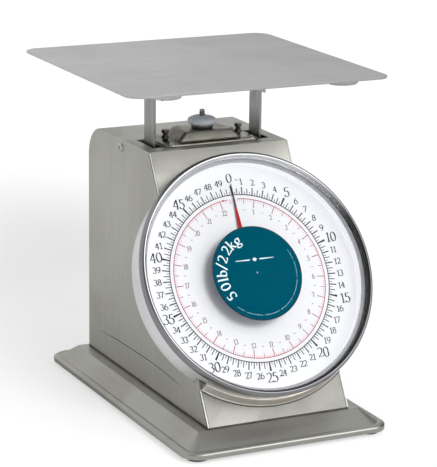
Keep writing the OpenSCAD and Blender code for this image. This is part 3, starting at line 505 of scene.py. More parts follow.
def facing(centre, out):
    # a frame whose height runs along out
    axis = Vector(out).normalized()
    across = axis.orthogonal().normalized()
    other = axis.cross(across)
    origin = Vector(centre)
    return lambda x, y, z: tuple(origin + across * x + other * y + axis * z)


def boxOf(node):
    low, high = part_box(node)
    return [c / mm for c in low], [c / mm for c in high]


def middle(node):
    low, high = boxOf(node)
    return [(a + b) / 2 for a, b in zip(low, high)]


# the dial's own frame: x across, y up the leaning panel, w out of the dial
dial = {"lean": radians(30), "faceBack": 2.9, "face": 3.7, "drumRadius": 97.5, "drumBack": -9.7, "rim": 14.6,
        "lensBack": 15.6, "lensRise": 2.4, "lensThick": 1.6, "disc": 39.1}
faceMiddle = middle("dial_plate")
halfFace = (dial["faceBack"] + dial["face"]) / 2
leanSin, leanCos = sin(dial["lean"]), cos(dial["lean"])
dialY, dialZ = faceMiddle[1] + halfFace * leanCos, faceMiddle[2] - halfFace * leanSin
sideX = boxOf("right_side_panel")[1][0]


def onDial(x, y, w):
    return (x, dialY + y * leanSin - w * leanCos, dialZ + y * leanCos + w * leanSin)


def fromDial(point):
    # across, up the panel and out of it, in millimetres
    x, y, z = (c / mm for c in point)
    y, z = y - dialY, z - dialZ
    return x, y * leanSin + z * leanCos, z * leanSin - y * leanCos


def polar(radius, turn):
    return (radius * sin(radians(turn)), radius * cos(radians(turn)))


def arc(radius, start, end, steps):
    return [polar(radius, start + (end - start) * k / steps) for k in range(steps + 1)]


def bow(cx, cy, rx, ry, start, end, steps):
    angles = [radians(start + (end - start) * k / steps) for k in range(steps + 1)]
    return [(cx + rx * cos(a), cy + ry * sin(a)) for a in angles]


# base

plinth = {"foot": 3, "lip": 4.4, "bead": 5, "beadRise": 1.6, "top": 18.4, "thick": 1.2, "flange": 20,
          "cornerRadius": 15, "topWidth": 143.2, "topDepth": 245, "topRadius": 1.5}


def makePlinth():
    low, high = boxOf("base_plinth")
    width, depth = high[0] - low[0], high[1] - low[1]
    p = plinth
    runX, runY = (width - p["topWidth"]) / 2, (depth - p["topDepth"]) / 2

    def ring(inset, z, wall):
        # inset runs from 0 at the lip to runX at the foot of the housing
        beyond = max(0, inset - p["bead"]) / (runX - p["bead"])
        insetY = min(inset, p["bead"]) + beyond * (runY - p["bead"])
        radius = p["cornerRadius"] - min(inset, p["bead"]) / 2
        radius += beyond * (p["topRadius"] - radius)
        return rectRing(width - 2 * inset - 2 * wall, depth - 2 * insetY - 2 * wall,
                        max(0.4, radius - wall), z, corner=12)

    lipTop = p["foot"] + p["lip"]
    outside = bevelPath([(0, p["foot"], 0), (0, lipTop, 1.8), (3.4, lipTop + p["beadRise"], 0.9),
                         (p["bead"], lipTop + 0.7, 0.5), (runX, p["top"], 1.0), (runX + 6, p["top"], 0)], 5)
    rings = [ring(p["flange"], p["foot"], 0), ring(0.7, p["foot"], 0), ring(0.15, p["foot"] + 0.2, 0)]
    rings += [ring(max(0, min(s, runX)) if z < p["top"] - 0.001 else s, z, 0) for s, z in outside[1:-1]]
    under = p["top"] - p["thick"]
    top, bottom = (rectRing(p["topWidth"] - 14, p["topDepth"] - 14, 1, z, corner=12) for z in (p["top"], under))
    rings += [top, bottom]
    inside = [(runX, under), (p["bead"], lipTop + p["beadRise"] - p["thick"]), (0, lipTop - p["thick"]),
              (0, p["foot"] + p["thick"])]
    rings += [ring(s, z, p["thick"]) for s, z in inside]
    rings.append(ring(p["flange"], p["foot"] + p["thick"], 0))
    skin = ringLoft(rings, looped=True)
    plate = ringLoft([bottom, top])
    addPiece("stampedPlinth", joinShapes([skin, plate]), "plinth_steel", ("base_plinth",), sharp=26)


makePlinth()

feet = {"radius": 9, "height": 3, "recess": 4.5}


def makeFeet():
    high = boxOf("rubber_feet")[1]
    reach = [high[0] - feet["radius"], high[1] - feet["radius"]]
    profile = bevelPath([(2, feet["height"], 0), (feet["radius"] - 0.6, feet["height"], 0.3),
                         (feet["radius"], 0, 0.9), (feet["recess"] + 0.3, 0, 0.5),
                         (feet["recess"], 1.5, 0.3), (2, 1.5, 0)], 4)
    shapes = []
    for sx in (-1, 1):
        for sy in (-1, 1):
            shapes.append(lathe(profile, 40, upright((sx * reach[0], sy * reach[1], 0)), closed=True))
    addPiece("mouldedFeet", joinShapes(shapes), "rubber", ("rubber_feet",), sharp=35)


makeFeet()
print("base made")


# housing extras: a stamped groove low on each side, drawn as a low rib whose lower faces carry painted shade

groove = {"points": [(95, 39.1), (60, 41.1), (15, 42.1), (-12, 42.2), (-35, 41.6), (-56, 40.3), (-73.6, 38.6)],
          "width": 1.5, "depth": 0.3}


def makeGrooves():
    for name, s in (("grooveLeft", -1), ("grooveRight", 1)):
        count = len(groove["points"])
        rows = []
        for i, (y, z) in enumerate(groove["points"]):
            taper = 0.3 if i in (0, count - 1) else 1
            half = groove["width"] / 2 * taper
            deep = sideX + groove["depth"] * taper
            rows.append([(s * (sideX - 0.1), y, z - half), (s * (sideX + 0.04), y, z - half * 0.8),
                         (s * (sideX + 0.04), y, z + half * 0.25), (s * deep, y, z + half * 0.7),
                         (s * (sideX - 0.1), y, z + half)])
        line = addPiece(name, ringLoft(rows), "housing_steel", sharp=60)
        line.data.materials.append(finish["seamDarkAndPaintedShade"])  # painted shade: the lower faces are dark as the shaded wall of a groove
        for face in line.data.polygons:
            face.material_index = int(face.index % 5 < 2 and face.index < (count - 1) * 5)


makeGrooves()

# folded edges of the front sheet, bright as a painted highlight with dark seams beside them, and a dark strip
# as painted shadow where the housing meets the base
edging = {"upper": (77.5, 112.2), "lower": (-115.0, -84.5), "radius": 0.5, "seam": 0.32, "paintedShadowHeight": 1.5}


def makeEdging():
    bright, dark = [], []
    for s in (-1, 1):
        for low, high in (edging["upper"], edging["lower"]):
            bright.append(tube([onDial(s * (sideX - 0.25), y, -0.25) for y in (low, (low + high) / 2, high)],
                               edging["radius"], 10))
            dark.append(tube([onDial(s * sideX, y, -1.35) for y in (low, (low + high) / 2, high)],
                             edging["seam"], 8))
    addPiece("foldEdges", joinShapes(bright), "housing_steel", finishName="foldPaintedHighlight", sharp=60)
    low, high = boxOf("left_side_panel")
    depth, middleY, base = high[1] - low[1], (high[1] + low[1]) / 2, plinth["top"]
    # painted shadow: a dark strip round the housing foot, where shade falls between housing and base
    rings = [rectRing(2 * sideX + 0.5, depth + 0.6, 0.6, base + z, (0, middleY), 3)
             for z in (0.02, edging["paintedShadowHeight"])]
    rings += [rectRing(2 * sideX - 1.4, depth - 1.4, 0.4, base + z, (0, middleY), 3)
              for z in (edging["paintedShadowHeight"], 0.02)]
    dark.append(ringLoft(rings, looped=True))
    addPiece("shadowSeams", joinShapes(dark), "housing_steel", finishName="seamDarkAndPaintedShade", sharp=40)


makeEdging()

saddle = {"width": 84, "depth": 46, "bossFoot": (58, 33), "bossTop": (42, 27)}


def makeSaddle():
    s = saddle
    centre = middle("top_saddle")[:2]
    base = boxOf("top_saddle")[0][2]

    def at(path, wall):
        # path runs (share of the way from flange edge to boss top, height)
        rings = []
        for share, height in path:
            if share < 1:
                w = s["width"] + (s["bossFoot"][0] - s["width"]) * share
                d = s["depth"] + (s["bossFoot"][1] - s["depth"]) * share
                r = 5 + (3.4 - 5) * share
            elif share <= 2:
                w = s["bossFoot"][0] + (s["bossTop"][0] - s["bossFoot"][0]) * (share - 1)
                d = s["bossFoot"][1] + (s["bossTop"][1] - s["bossFoot"][1]) * (share - 1)
                r = 3.4 - 0.6 * (share - 1)
            else:
                w = s["bossTop"][0] * (3 - share)
                d = s["bossTop"][1] * (3 - share)
                r = 2.8 * (3 - share)
            rings.append(rectRing(w - 2 * wall, d - 2 * wall, max(0.3, r - wall * 0.5), base + height, centre,
                                  8))
        return rings

    top = at([(0.0, 0.3), (0.012, 1.2), (0.04, 1.5), (0.82, 1.5), (0.93, 1.62), (1.02, 2.1), (1.12, 3.0),
              (1.78, 8.0), (1.9, 8.8), (2.0, 9.25), (2.1, 9.5), (2.9, 9.5)], 0)
    bottom = at([(2.9, 8.0), (2.1, 8.0), (1.9, 7.6), (1.1, 1.4), (0.98, 0.2), (0.93, 0), (0.03, 0)], 0.4)
    shell = ringLoft(top + bottom, looped=True)
    addPiece("pressedSaddle", shell, "saddle_steel", ("top_saddle",), sharp=40)


makeSaddle()


# head radius and height, then how far the screws stand from the middle; the recess as shares of the head
fasteners = {"saddle": (2.6, 1.6, 36, 19.8), "side": (3.6, 1.9), "rear": (3.4, 1.8, 55.5),
             "slotHalf": 0.16, "slotReach": 0.62, "slotDeep": 0.55}


def panHead(place, radius, height):
    # a domed screw head with a cross recess
    rings = []
    for row in range(10):
        lean = pi / 2 * row / 9
        ring = []
        for x, y, z in circle((0, 0), max(radius * sin(lean), 0.02), height * cos(lean) ** 0.8, 40, 0.5):
            near, far = sorted((abs(x), abs(y)))
            cut = near < fasteners["slotHalf"] * radius and far < fasteners["slotReach"] * radius
            ring.append(place(x, y, z - (fasteners["slotDeep"] * height if cut else 0)))
        rings.append(ring)
    return ringLoft(rings)


def makeScrews():
    x, y, _ = middle("top_saddle")
    top = boxOf("saddle_screws")[1][2]
    radius, height, dx, dy = fasteners["saddle"]
    shapes = [panHead(upright((x + sx * dx, y + sy * dy, top - height)), radius, height)
              for sx in (-1, 1) for sy in (-1, 1)]
    addPiece("saddleScrewHeads", joinShapes(shapes), "screw_steel", ("saddle_screws",))
    radius, height = fasteners["side"]
    low, high = boxOf("side_screws")
    y, z = (low[1] + high[1]) / 2, (low[2] + high[2]) / 2
    shapes = [panHead(facing((s * (high[0] - height), y, z), (s, 0, 0)), radius, height) for s in (-1, 1)]
    addPiece("sideScrewHeads", joinShapes(shapes), "screw_steel", ("side_screws",))
    radius, height, dx = fasteners["rear"]
    low, high = boxOf("rear_screws")
    shapes = [panHead(facing((s * dx, high[1] - height, z), (0, 1, 0)), radius, height)
              for s in (-1, 1) for z in (low[2] + radius, high[2] - radius)]
    addPiece("rearScrewHeads", joinShapes(shapes), "screw_steel", ("rear_screws",))


makeScrews()
print("housing pieces made")


# dial

def makeDrum():
    d = dial
    r, back, rim = d["drumRadius"], d["drumBack"], d["rim"]
    profile = bevelPath([(5, back, 0), (r, back, 2.2), (r, rim, 0.4), (r - 1, rim, 0.4), (r - 1, back + 1, 1.4),
                         (5, back + 1, 0)], 5)
    drum = addPiece("spunDrum", lathe(profile, 160, onDial, closed=True), "drum_satin", ("dial_drum",))
    drum.data.materials.append(finish["rimWhitePaintedGlow"])  # enamelled white inside, with a glow as painted light
    drum.visible_shadow = False  # the face stays evenly lit right up to the rim
    for face in drum.data.polygons:
        x, up, out = fromDial(face.center)
        face.material_index = int(hypot(x, up) < r - 0.45 and out > back + 0.5)


# the rolled bead over the lens, in lit and shaded copies of one chrome: its faces inside of lip carry a painted
# highlight, those inside of shade a painted shade to the left
bezel = {"wall": 0.8, "bead": 5.4, "height": 4.4, "lift": 1.4, "skirt": 3, "lip": 0.1, "shade": 1.1,
         "shadeLeftOf": -25, "shadeBelow": 75}


def makeBezel():
    wall, bead, rim = bezel["wall"], bezel["bead"], dial["rim"]
    lensTop = dial["lensBack"] + dial["lensThick"]
    mid = dial["drumRadius"] + 1.0
    skirt = dial["drumRadius"] + 0.1

    def oval(start, end, inset):
        return bow(mid, lensTop + bezel["lift"], bead / 2 - inset, bezel["height"] - inset, start, end, 26)

    profile = [(skirt + wall, rim - bezel["skirt"]), (skirt + wall, rim - wall)] + oval(-50, 180, 0)
    profile += [(mid - bead / 2, lensTop), (mid - bead / 2 + wall, lensTop)] + oval(180, -50, wall)
    profile += [(skirt, rim - wall + 0.3), (skirt, rim - bezel["skirt"])]
    ring = addPiece("rolledBezel", lathe(profile, 220, onDial, closed=True), "bezel_chrome", ("bezel_ring",),
                    sharp=38)
    ring.visible_shadow = False
    for name in ("bezelPaintedHighlight", "bezelPaintedShade"):
        ring.data.materials.append(finish[name])
    for face in ring.data.polygons:
        x, up, _ = fromDial(face.center)
        inside = mid - hypot(x, up)
        shaded = inside > bezel["shade"] and x < bezel["shadeLeftOf"] and up < bezel["shadeBelow"]
        face.material_index = 2 if shaded else int(inside > bezel["lip"])


cowl = {"profile": [(98.4, 8.6, 0), (101.4, 8.4, 0.5), (103.6, 1.4, 2.5), (104.6, 0.6, 0.4), (104.6, 0.05, 0),
                    (98.4, 0.05, 0)], "seam": 105.0}


def makeCowl():
    # the curved flange that closes the lower opening around the drum
    reach = degrees(asin(sideX / cowl["seam"])) - 0.3
    outline = bevelPath(cowl["profile"], 4)
    turns = [180 - reach + 2 * reach * k / 60 for k in range(61)]
    rings = [[onDial(*polar(r, turn), w) for r, w in outline] for turn in turns]
    addPiece("lowerCowl", ringLoft(rings), "drum_satin", finishName="cowlSteel", sharp=40)
    seam = [onDial(*polar(cowl["seam"], turn), 0.1) for turn in turns]
    addPiece("cowlSeam", tube(seam, 0.42, 8), "housing_steel", finishName="seamDarkAndPaintedShade", sharp=60)


def makeLens():
    d = dial
    back, top = d["lensBack"], d["lensBack"] + d["lensRise"]
    edge, shoulder, thick = d["drumRadius"] - 0.6, d["drumRadius"] - 13.5, d["lensThick"]
    profile = bevelPath([(0, top, 0), (shoulder, top, 1.5), (shoulder + 3, back, 1.5), (edge, back, 0.2),
                         (edge, back + thick, 0.3), (shoulder + 4, back + thick, 1.5),
                         (shoulder + 1, top + thick, 1.5), (0, top + thick, 0)], 5)
    addPiece("mouldedLens", lathe(profile, 160, onDial), "lens_clear", ("lens",), sharp=50)


def makeFace():
    d = dial
    profile = bevelPath([(2.5, d["faceBack"], 0), (d["drumRadius"] - 2.5, d["faceBack"], 0.3),
                         (d["drumRadius"] - 2.5, d["face"], 0.3), (2.5, d["face"], 0)], 3)
    addPiece("dialFace", lathe(profile, 160, onDial, closed=True), "dial_white", ("dial_plate",))


def makeDisc():
    d = dial
    top = d["lensBack"] + d["lensRise"] - 0.05
    profile = bevelPath([(0, top - 0.4, 0), (d["disc"], top - 0.4, 0.1), (d["disc"], top, 0.15),
                         (0, top, 0)], 3)
    addPiece("badgeDisc", lathe(profile, 128, onDial), "disc_teal", ("lens_disc",))
    rimProfile = [(d["disc"] - inset, top + rise)
                  for inset, rise in ((0.7, 0), (0.1, 0), (0.1, 0.02), (0.7, 0.02))]
    addPiece("badgeRim", lathe(rimProfile, 128, onDial, closed=True), "disc_teal", finishName="pointerBlack")
    return top


makeDrum()
makeBezel()
makeCowl()
makeLens()
makeFace()
discTop = makeDisc()


# print: each stroke is a thin raised line with its own width along the way

def newInk(top, deep=0.03):
    return {"verts": [], "faces": [], "top": top, "deep": deep}


def addPrint(name, ink, slotName, finishName):
    addPiece(name, (ink["verts"], ink["faces"]), slotName, finishName=finishName, sharp=40)


def addStroke(ink, points, widths, closed=False):
    if isinstance(widths, (int, float)):
        widths = [widths] * len(points)
    count = len(points)
    start = len(ink["verts"])
    for i, (x, y) in enumerate(points):
        a = points[i - 1] if (i or closed) else points[0]
        b = points[(i + 1) % count] if (i < count - 1 or closed) else points[-1]
        length = hypot(b[0] - a[0], b[1] - a[1]) or 1
        nx, ny = -(b[1] - a[1]) / length * widths[i] / 2, (b[0] - a[0]) / length * widths[i] / 2
        for w in (ink["top"], ink["top"] - ink["deep"]):
            ink["verts"].append(onDial(x + nx, y + ny, w))
            ink["verts"].append(onDial(x - nx, y - ny, w))
    for i in range(count if closed else count - 1):
        a, b = start + 4 * i, start + 4 * ((i + 1) % count)
        ink["faces"] += [[a + 1, b + 1, b, a], [a, b, b + 2, a + 2], [a + 1, a + 3, b + 3, b + 1]]
    if not closed:
        a, b = start, start + 4 * (count - 1)
        ink["faces"] += [[a + 1, a, a + 2, a + 3], [b, b + 1, b + 3, b + 2]]


# letters drawn with a broad pen: falling and upright strokes thick, level and rising strokes thin
nibAngle = radians(14)
sixHook = [(0.056, 0.30), (0.062, 0.48), (0.12, 0.68), (0.24, 0.86), (0.42, 0.98)]
glyphs = {
    "0": (0.56, [bow(0.28, 0.49, 0.225, 0.47, 90, 450, 30)]),
    "1": (0.46, [[(0.25, 0.0), (0.25, 0.97)], [(0.08, 0.80), (0.16, 0.86), (0.24, 0.96)],
                 [(0.10, 0.015), (0.40, 0.015)]]),
    "2": (0.55, [bow(0.25, 0.71, 0.205, 0.255, 160, -25, 14) + [(0.38, 0.46), (0.22, 0.24), (0.06, 0.05)],
                 [(0.05, 0.045), (0.50, 0.045)], [(0.50, 0.03), (0.52, 0.15)]]),
    "3": (0.54, [bow(0.23, 0.745, 0.19, 0.225, 150, -85, 14), bow(0.22, 0.265, 0.235, 0.255, 88, -155, 16)]),
    "4": (0.57, [[(0.38, 0.0), (0.38, 0.97)], [(0.37, 0.95), (0.03, 0.31)], [(0.02, 0.295), (0.54, 0.295)],
                 [(0.27, 0.012), (0.49, 0.012)]]),
    "5": (0.53, [[(0.13, 0.945), (0.47, 0.945)], [(0.135, 0.95), (0.105, 0.56)],
                 [(0.105, 0.56)] + bow(0.22, 0.305, 0.24, 0.295, 112, -155, 18)]),
    "6": (0.56, [bow(0.28, 0.30, 0.225, 0.285, 0, 360, 26), sixHook]),
    "7": (0.52, [[(0.03, 0.94), (0.50, 0.94)], [(0.49, 0.94), (0.33, 0.52), (0.19, 0.0)],
                 [(0.035, 0.95), (0.03, 0.82)]]),
    "8": (0.54, [bow(0.27, 0.745, 0.17, 0.22, 0, 360, 22), bow(0.27, 0.27, 0.215, 0.255, 0, 360, 24)]),
    "9": (0.56, [bow(0.28, 0.67, 0.225, 0.285, 0, 360, 26), [(0.56 - x, 0.97 - y) for x, y in sixHook]]),
    "l": (0.28, [[(0.13, 0.0), (0.13, 1.02)], [(0.03, 0.99), (0.13, 1.02)], [(0.03, 0.015), (0.24, 0.015)]]),
    "b": (0.56, [[(0.11, 0.0), (0.11, 1.02)], [(0.01, 0.99), (0.11, 1.02)],
                 bow(0.29, 0.30, 0.20, 0.30, 0, 360, 24)]),
    "k": (0.56, [[(0.11, 0.0), (0.11, 1.02)], [(0.01, 0.99), (0.11, 1.02)], [(0.12, 0.27), (0.45, 0.62)],
                 [(0.21, 0.36), (0.48, 0.02)], [(0.01, 0.015), (0.22, 0.015)], [(0.38, 0.015), (0.56, 0.015)]]),
    "g": (0.54, [bow(0.25, 0.40, 0.18, 0.22, 0, 360, 22), bow(0.25, -0.12, 0.22, 0.15, 0, 360, 22),
                 [(0.16, 0.20), (0.10, 0.10), (0.30, 0.03)], [(0.38, 0.56), (0.52, 0.62)]]),
    "/": (0.40, [[(0.0, -0.12), (0.36, 1.08)]]),
}


def drawGlyph(ink, letter, place, height, thick, thin):
    for stroke in glyphs[letter][1]:
        fine = []
        for (x0, y0), (x1, y1) in zip(stroke, stroke[1:]):
            fine.append((x0, y0))
            if hypot(x1 - x0, y1 - y0) > 0.3:
                fine.append(((x0 + x1) / 2, (y0 + y1) / 2))
        fine.append(stroke[-1])
        widths = []
        for i in range(len(fine)):
            a, b = fine[max(0, i - 1)], fine[min(len(fine) - 1, i + 1)]
            slant = atan2(b[1] - a[1], b[0] - a[0])
            widths.append(height * (thin + (thick - thin) * abs(sin(slant - nibAngle)) ** 2.2))
        addStroke(ink, [place(x * height, y * height) for x, y in fine], widths)


def drawUpright(ink, text, centre, height, thick, thin, squeeze):
    x, foot = centre[0] - sum(glyphs[c][0] for c in text) * height * squeeze / 2, centre[1] - height * 0.49
    for letter in text:
        drawGlyph(ink, letter, lambda u, v: (x + u * squeeze, foot + v), height, thick, thin)
        x += glyphs[letter][0] * height * squeeze


def drawRound(ink, letter, radius, turn, height, thick, thin, wide):
    # stands with its foot towards the centre
    angle = radians(turn)
    half = glyphs[letter][0] * height / 2

    def place(u, v):
        aside, out = (u - half) * wide, radius + v
        return (out * sin(angle) + aside * cos(angle), out * cos(angle) - aside * sin(angle))

    drawGlyph(ink, letter, place, height, thick, thin)


# radii of circles, ends of ticks and middles of numbers; a font is its height, thick and thin strokes and width
scalePrint = {"poundCircle": 69.9, "poundTick": 76.4, "halfPoundTick": 75.2, "quarterTick": 72.6,
              "smallNumber": 81.0, "kiloCircle": 66.4, "kiloTick": 59.5, "halfTick": 62.2,
              "fineTick": 64.2, "kiloNumber": 56.2,
              "kiloTurn": 22.6796, "bigFont": (8.2, 0.145, 0.06, 1.13), "smallFont": (5.1, 0.165, 0.10, 1.17),
              "kiloFont": (4.3, 0.15, 0.11, 0.95)}
bigRadius = {0: 84.2, 5: 83.5, 10: 83.9, 15: 84.5, 20: 84.2, 25: 82.7, 30: 83.4, 35: 82.0, 40: 81.8, 45: 82.6}


def makePounds():
    p = scalePrint
    ink = newInk(dial["face"] + 0.03)
    addStroke(ink, arc(p["poundCircle"], 0, 360, 180)[:-1], 0.75, closed=True)
    for quarter in range(200):
        if quarter % 2:
            reach, width = p["quarterTick"], 0.5
        elif quarter % 4:
            reach, width = p["halfPoundTick"], 0.72
        else:
            reach, width = (p["poundTick"], 0.95) if quarter % 20 else (p["poundTick"] + 1.0, [1.0, 1.7])
        addStroke(ink, [polar(p["poundCircle"], quarter * 1.8), polar(reach, quarter * 1.8)], width)
    for pound in range(50):
        angle = pound * 7.2 - (pound == 30)
        small = pound % 5 > 0
        drawUpright(ink, str(pound), polar(p["smallNumber"] if small else bigRadius[pound], angle),
                    *p["smallFont" if small else "bigFont"])
    addStroke(ink, [polar(82.6, 3.7), polar(82.2, 5.0)], 0.7)
    addPrint("poundPrint", ink, "dial_white", "printBlack")


def makeKilos():
    p = scalePrint
    step = 360 / p["kiloTurn"]
    red = newInk(dial["face"] + 0.03)
    addStroke(red, arc(p["kiloCircle"], 3.2, 355.6, 180), 0.62)
    addStroke(red, arc(p["kiloCircle"] + 0.1, 351.6, 352.6, 2), 1.5)
    fine = newInk(dial["face"] + 0.02)
    ticks = {0: (red, 0, p["kiloTick"], 0.66), 5: (red, 0, p["halfTick"], 0.52)}
    for tenth in range(1, 227):
        angle = tenth * step / 10
        ink, inset, reach, width = ticks.get(tenth % 10, (fine, 0.3, p["fineTick"], 0.42))
        addStroke(ink, [polar(p["kiloCircle"] - inset, angle), polar(reach, angle)], width)
    addPrint("kiloPrint", red, "dial_white", "printRed")
    addPrint("fineKiloPrint", fine, "dial_white", "printPink")
    grey = newInk(dial["face"] + 0.03)
    for kilo in range(1, 23):
        drawUpright(grey, str(kilo), polar(p["kiloNumber"], kilo * step), *p["kiloFont"])
    for kilo in range(22):
        x, y = polar(p["kiloNumber"] + 0.8, (kilo + 0.5) * step)
        addStroke(grey, [(x - 0.9, y), (x + 0.9, y)], 0.5)
    addPrint("kiloNumbers", grey, "dial_white", "printGrey")


badge = {"text": "50lb/22kg", "places": (239, 255, 266, 275.2, 286.8, 297.6, 313, 325.2, 337.5), "radius": 27.0,
         "height": 8.6, "wide": 1.16, "line": 11.4, "edge": 34.6, "edgeFrom": 62.0, "edgeTo": 222}


def makeBadgePrint():
    b = badge
    ink = newInk(discTop + 0.045, 0.04)
    for letter, place in zip(b["text"], b["places"]):
        drawRound(ink, letter, b["radius"], place, b["height"], 0.165, 0.08, b["wide"])
    addStroke(ink, [(-17, b["line"]), (-4.4, b["line"])], [0.5, 1.1])
    addStroke(ink, [(4.4, b["line"]), (17, b["line"])], [1.1, 0.5])
    addStroke(ink, [(-2.1, b["line"]), (0, b["line"]), (2.1, b["line"])], [0.1, 3.6, 0.1])
    addStroke(ink, bow(0, 0.4, 0.45, 0.45, 0, 330, 11), 0.4)
    addPrint("badgePrint", ink, "disc_teal", "discInk")
    fine = newInk(discTop + 0.045, 0.04)
    angle, count = b["edgeFrom"], 0
    while angle < b["edgeTo"]:
        sweep = degrees((0.5, 0.9, 0.7, 1.1, 0.6)[count * 7 % 5] / b["edge"])
        addStroke(fine, arc(b["edge"], angle, angle + sweep, 2), (0.8, 0.5, 0.65)[count % 3])
        angle += sweep + degrees((2.2 if count % 11 == 6 else 0.55) / b["edge"])
        count += 1
    addPrint("badgeEdgeMarks", fine, "disc_teal", "discPale")


makePounds()
makeKilos()
makeBadgePrint()
print("dial made")

hand = {"low": 5.0, "thick": 0.6, "tip": 79, "change": 59.5, "tail": -26}


def handOutline(parts):
    # flat hand with softly raised middle
    top, low = hand["low"] + hand["thick"], hand["low"]
    section = ((-1, low), (1, low), (1, top - 0.15), (0.6, top), (-0.6, top), (-1, top - 0.15))
    return ringLoft([[onDial(half * share, y, w) for share, w in section] for y, half in parts])


def makePointer():
    red = handOutline([(hand["tail"], 2.3), (hand["tail"] + 0.4, 2.6), (-6, 2.2), (0, 2.0), (20, 1.9),
                       (39, 1.9), (52, 1.15), (hand["change"], 0.68)])
    hub = lathe(bevelPath([(1.5, 5.0, 0), (5, 5.0, 0.2), (5, 7.0, 0.6), (1.5, 7.0, 0)], 4), 48, onDial,
                closed=True)
    addPiece("handBody", joinShapes([red, hub]), "pointer_red", ("pointer",), body="pointer")
    tip = handOutline([(hand["change"], 0.68), (68, 0.5), (hand["tip"] - 0.5, 0.34), (hand["tip"], 0.2)])
    addPiece("handTip", tip, "pointer_red", finishName="pointerBlack", body="pointer")


makePointer()
print("hand made")


# zero adjustment

knob = {"radius": 12, "height": 7.6, "bore": 2.5, "collar": 9, "collarHeight": 2.1, "flutes": 24,
        "fluteDeep": 0.16}


def makeKnob():
    x, y, _ = middle("zero_knob")
    foot = boxOf("zero_knob")[0][2]
    base = foot + knob["collarHeight"]
    r, h = knob["radius"], knob["height"]
    profile = bevelPath([(knob["bore"], base, 0), (r - 2.4, base, 1.2), (r, base + 1.9, 1.8),
                         (r, base + 5.1, 2.2), (r - 3.2, base + 6.7, 1.8), (5.6, base + h, 1.4),
                         (knob["bore"], base + h, 0)], 6)
    rings = []
    for radius, z in profile:
        ring = []
        for i in range(144):
            a = 2 * pi * i / 144
            ripple = knob["fluteDeep"] * (cos(knob["flutes"] * a) * max(0, min(1, (radius - 8.5) / 3)) - 1)
            ring.append((x + (radius + ripple) * cos(a), y + (radius + ripple) * sin(a), z))
        rings.append(ring)
    addPiece("knobCap", ringLoft(rings, looped=True), "knob_plastic", ("zero_knob",), body="zero_knob",
             sharp=50)
    profile = bevelPath([(knob["bore"], foot, 0), (knob["collar"], foot, 0.5), (knob["collar"], base, 0.2),
                         (knob["bore"], base, 0)], 3)
    addPiece("knobCollar", lathe(profile, 64, upright((x, y, 0)), closed=True), "knob_plastic",
             finishName="collarPlastic", body="zero_knob")


makeKnob()

adjuster = {"stud": 2.4, "hanger": 2.3, "hangerX": 33.4, "pitch": 0.9, "ridge": 0.3, "nut": 3.4, "nutHigh": 2.5,
            "bridge": 196, "springTop": 189, "hangerTop": 227, "nuts": (219.6, 224.6)}


def threaded(centre, radius, low, high):
    # a screw with real ridges: the crest climbs as it goes round
    pitch, depth, sides, rings = adjuster["pitch"], adjuster["ridge"], 24, []
    rows = int((high - low) / pitch * 6)
    for row in range(rows + 1):
        z = low + (high - low) * row / rows
        ring = []
        for i in range(sides):
            phase = (z / pitch - i / sides) % 1
            r = radius - (depth * abs(2 * phase - 1) if 0 < row < rows else depth)
            a = 2 * pi * i / sides
            ring.append((centre[0] + r * cos(a), centre[1] + r * sin(a), z))
        rings.append(ring)
    return ringLoft(rings)


def hexNut(centre, low, radius, height):
    rings = []
    for share, z in ((0.9, 0), (1, 0.35), (1, height - 0.35), (0.9, height)):
        ring = []
        for i in range(48):
            a = 2 * pi * i / 48
            flat = cos(pi / 6) / cos((a % (pi / 3)) - pi / 6)
            r = radius * (min(flat, 0.99) if share == 1 else min(flat, share))
            ring.append((centre[0] + r * cos(a), centre[1] + r * sin(a), low + z))
        rings.append(ring)
    return ringLoft(rings)


def makeAdjuster():
    y, top = middle("adjuster_screws")[1], boxOf("adjuster_screws")[1][2]
    a = adjuster
    shapes = [threaded((0, y), a["stud"], a["bridge"], top - 1.6)]
    for s in (-1, 1):  # the stud's end is slotted for a screwdriver
        rim = bow(0, 0, s * a["stud"] * 0.88, a["stud"] * 0.88, -62, 62, 12)
        points = [(s * 0.4, -1.9)] + rim + [(s * 0.4, 1.9)]
        rings = [[(px, y + py, z) for px, py in points] for z in (top - 1.7, top - 0.25)]
        rings.append([(px * 0.86 if abs(px) > 0.5 else px, y + py * 0.86, top) for px, py in points])
        shapes.append(ringLoft(rings))
    addPiece("zeroStud", joinShapes(shapes), "dark_steel", finishName="studSteel", body="zero_bridge", sharp=32)
    shapes = []
    for x in (-a["hangerX"], a["hangerX"]):
        shapes.append(threaded((x, y), a["hanger"], a["springTop"], a["hangerTop"]))
        shapes += [hexNut((x, y), z, a["nut"], a["nutHigh"]) for z in a["nuts"]]
    addPiece("threadedScrews", joinShapes(shapes), "dark_steel", ("adjuster_screws",), body="zero_bridge",
             sharp=32)


makeAdjuster()

coil = {"radius": 7, "wire": 1, "turns": 15}


def makeSprings():
    for side, name in ((-1, "left"), (1, "right")):
        node = "weighing_spring_" + name
        x, y = side * adjuster["hangerX"], middle("spring_anchors")[1]
        bottom, top = (corner[2] for corner in boxOf(node))
        path = [(x, y, bottom + 0.02), (x, y, bottom + 1.2)]
        steps = coil["turns"] * 28
        for k in range(steps + 1):
            t = k / steps
            r = coil["radius"] * min(1, min(t, 1 - t) * coil["turns"] * 1.6)
            a = 2 * pi * coil["turns"] * t
            path.append((x + r * cos(a), y + r * sin(a), bottom + 2.2 + (top - bottom - 4.4) * t))
        path += [(x, y, top - 1.2), (x, y, top - 0.02)]
        spring = addPiece("coilSpring_" + name, tube(path, coil["wire"], 10), "spring_steel", (node,),
                          body=None, sharp=60)
        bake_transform(spring)


makeSprings()
print("adjuster and springs made")


# every other CAD node keeps its shape, with softened edges and its own finish

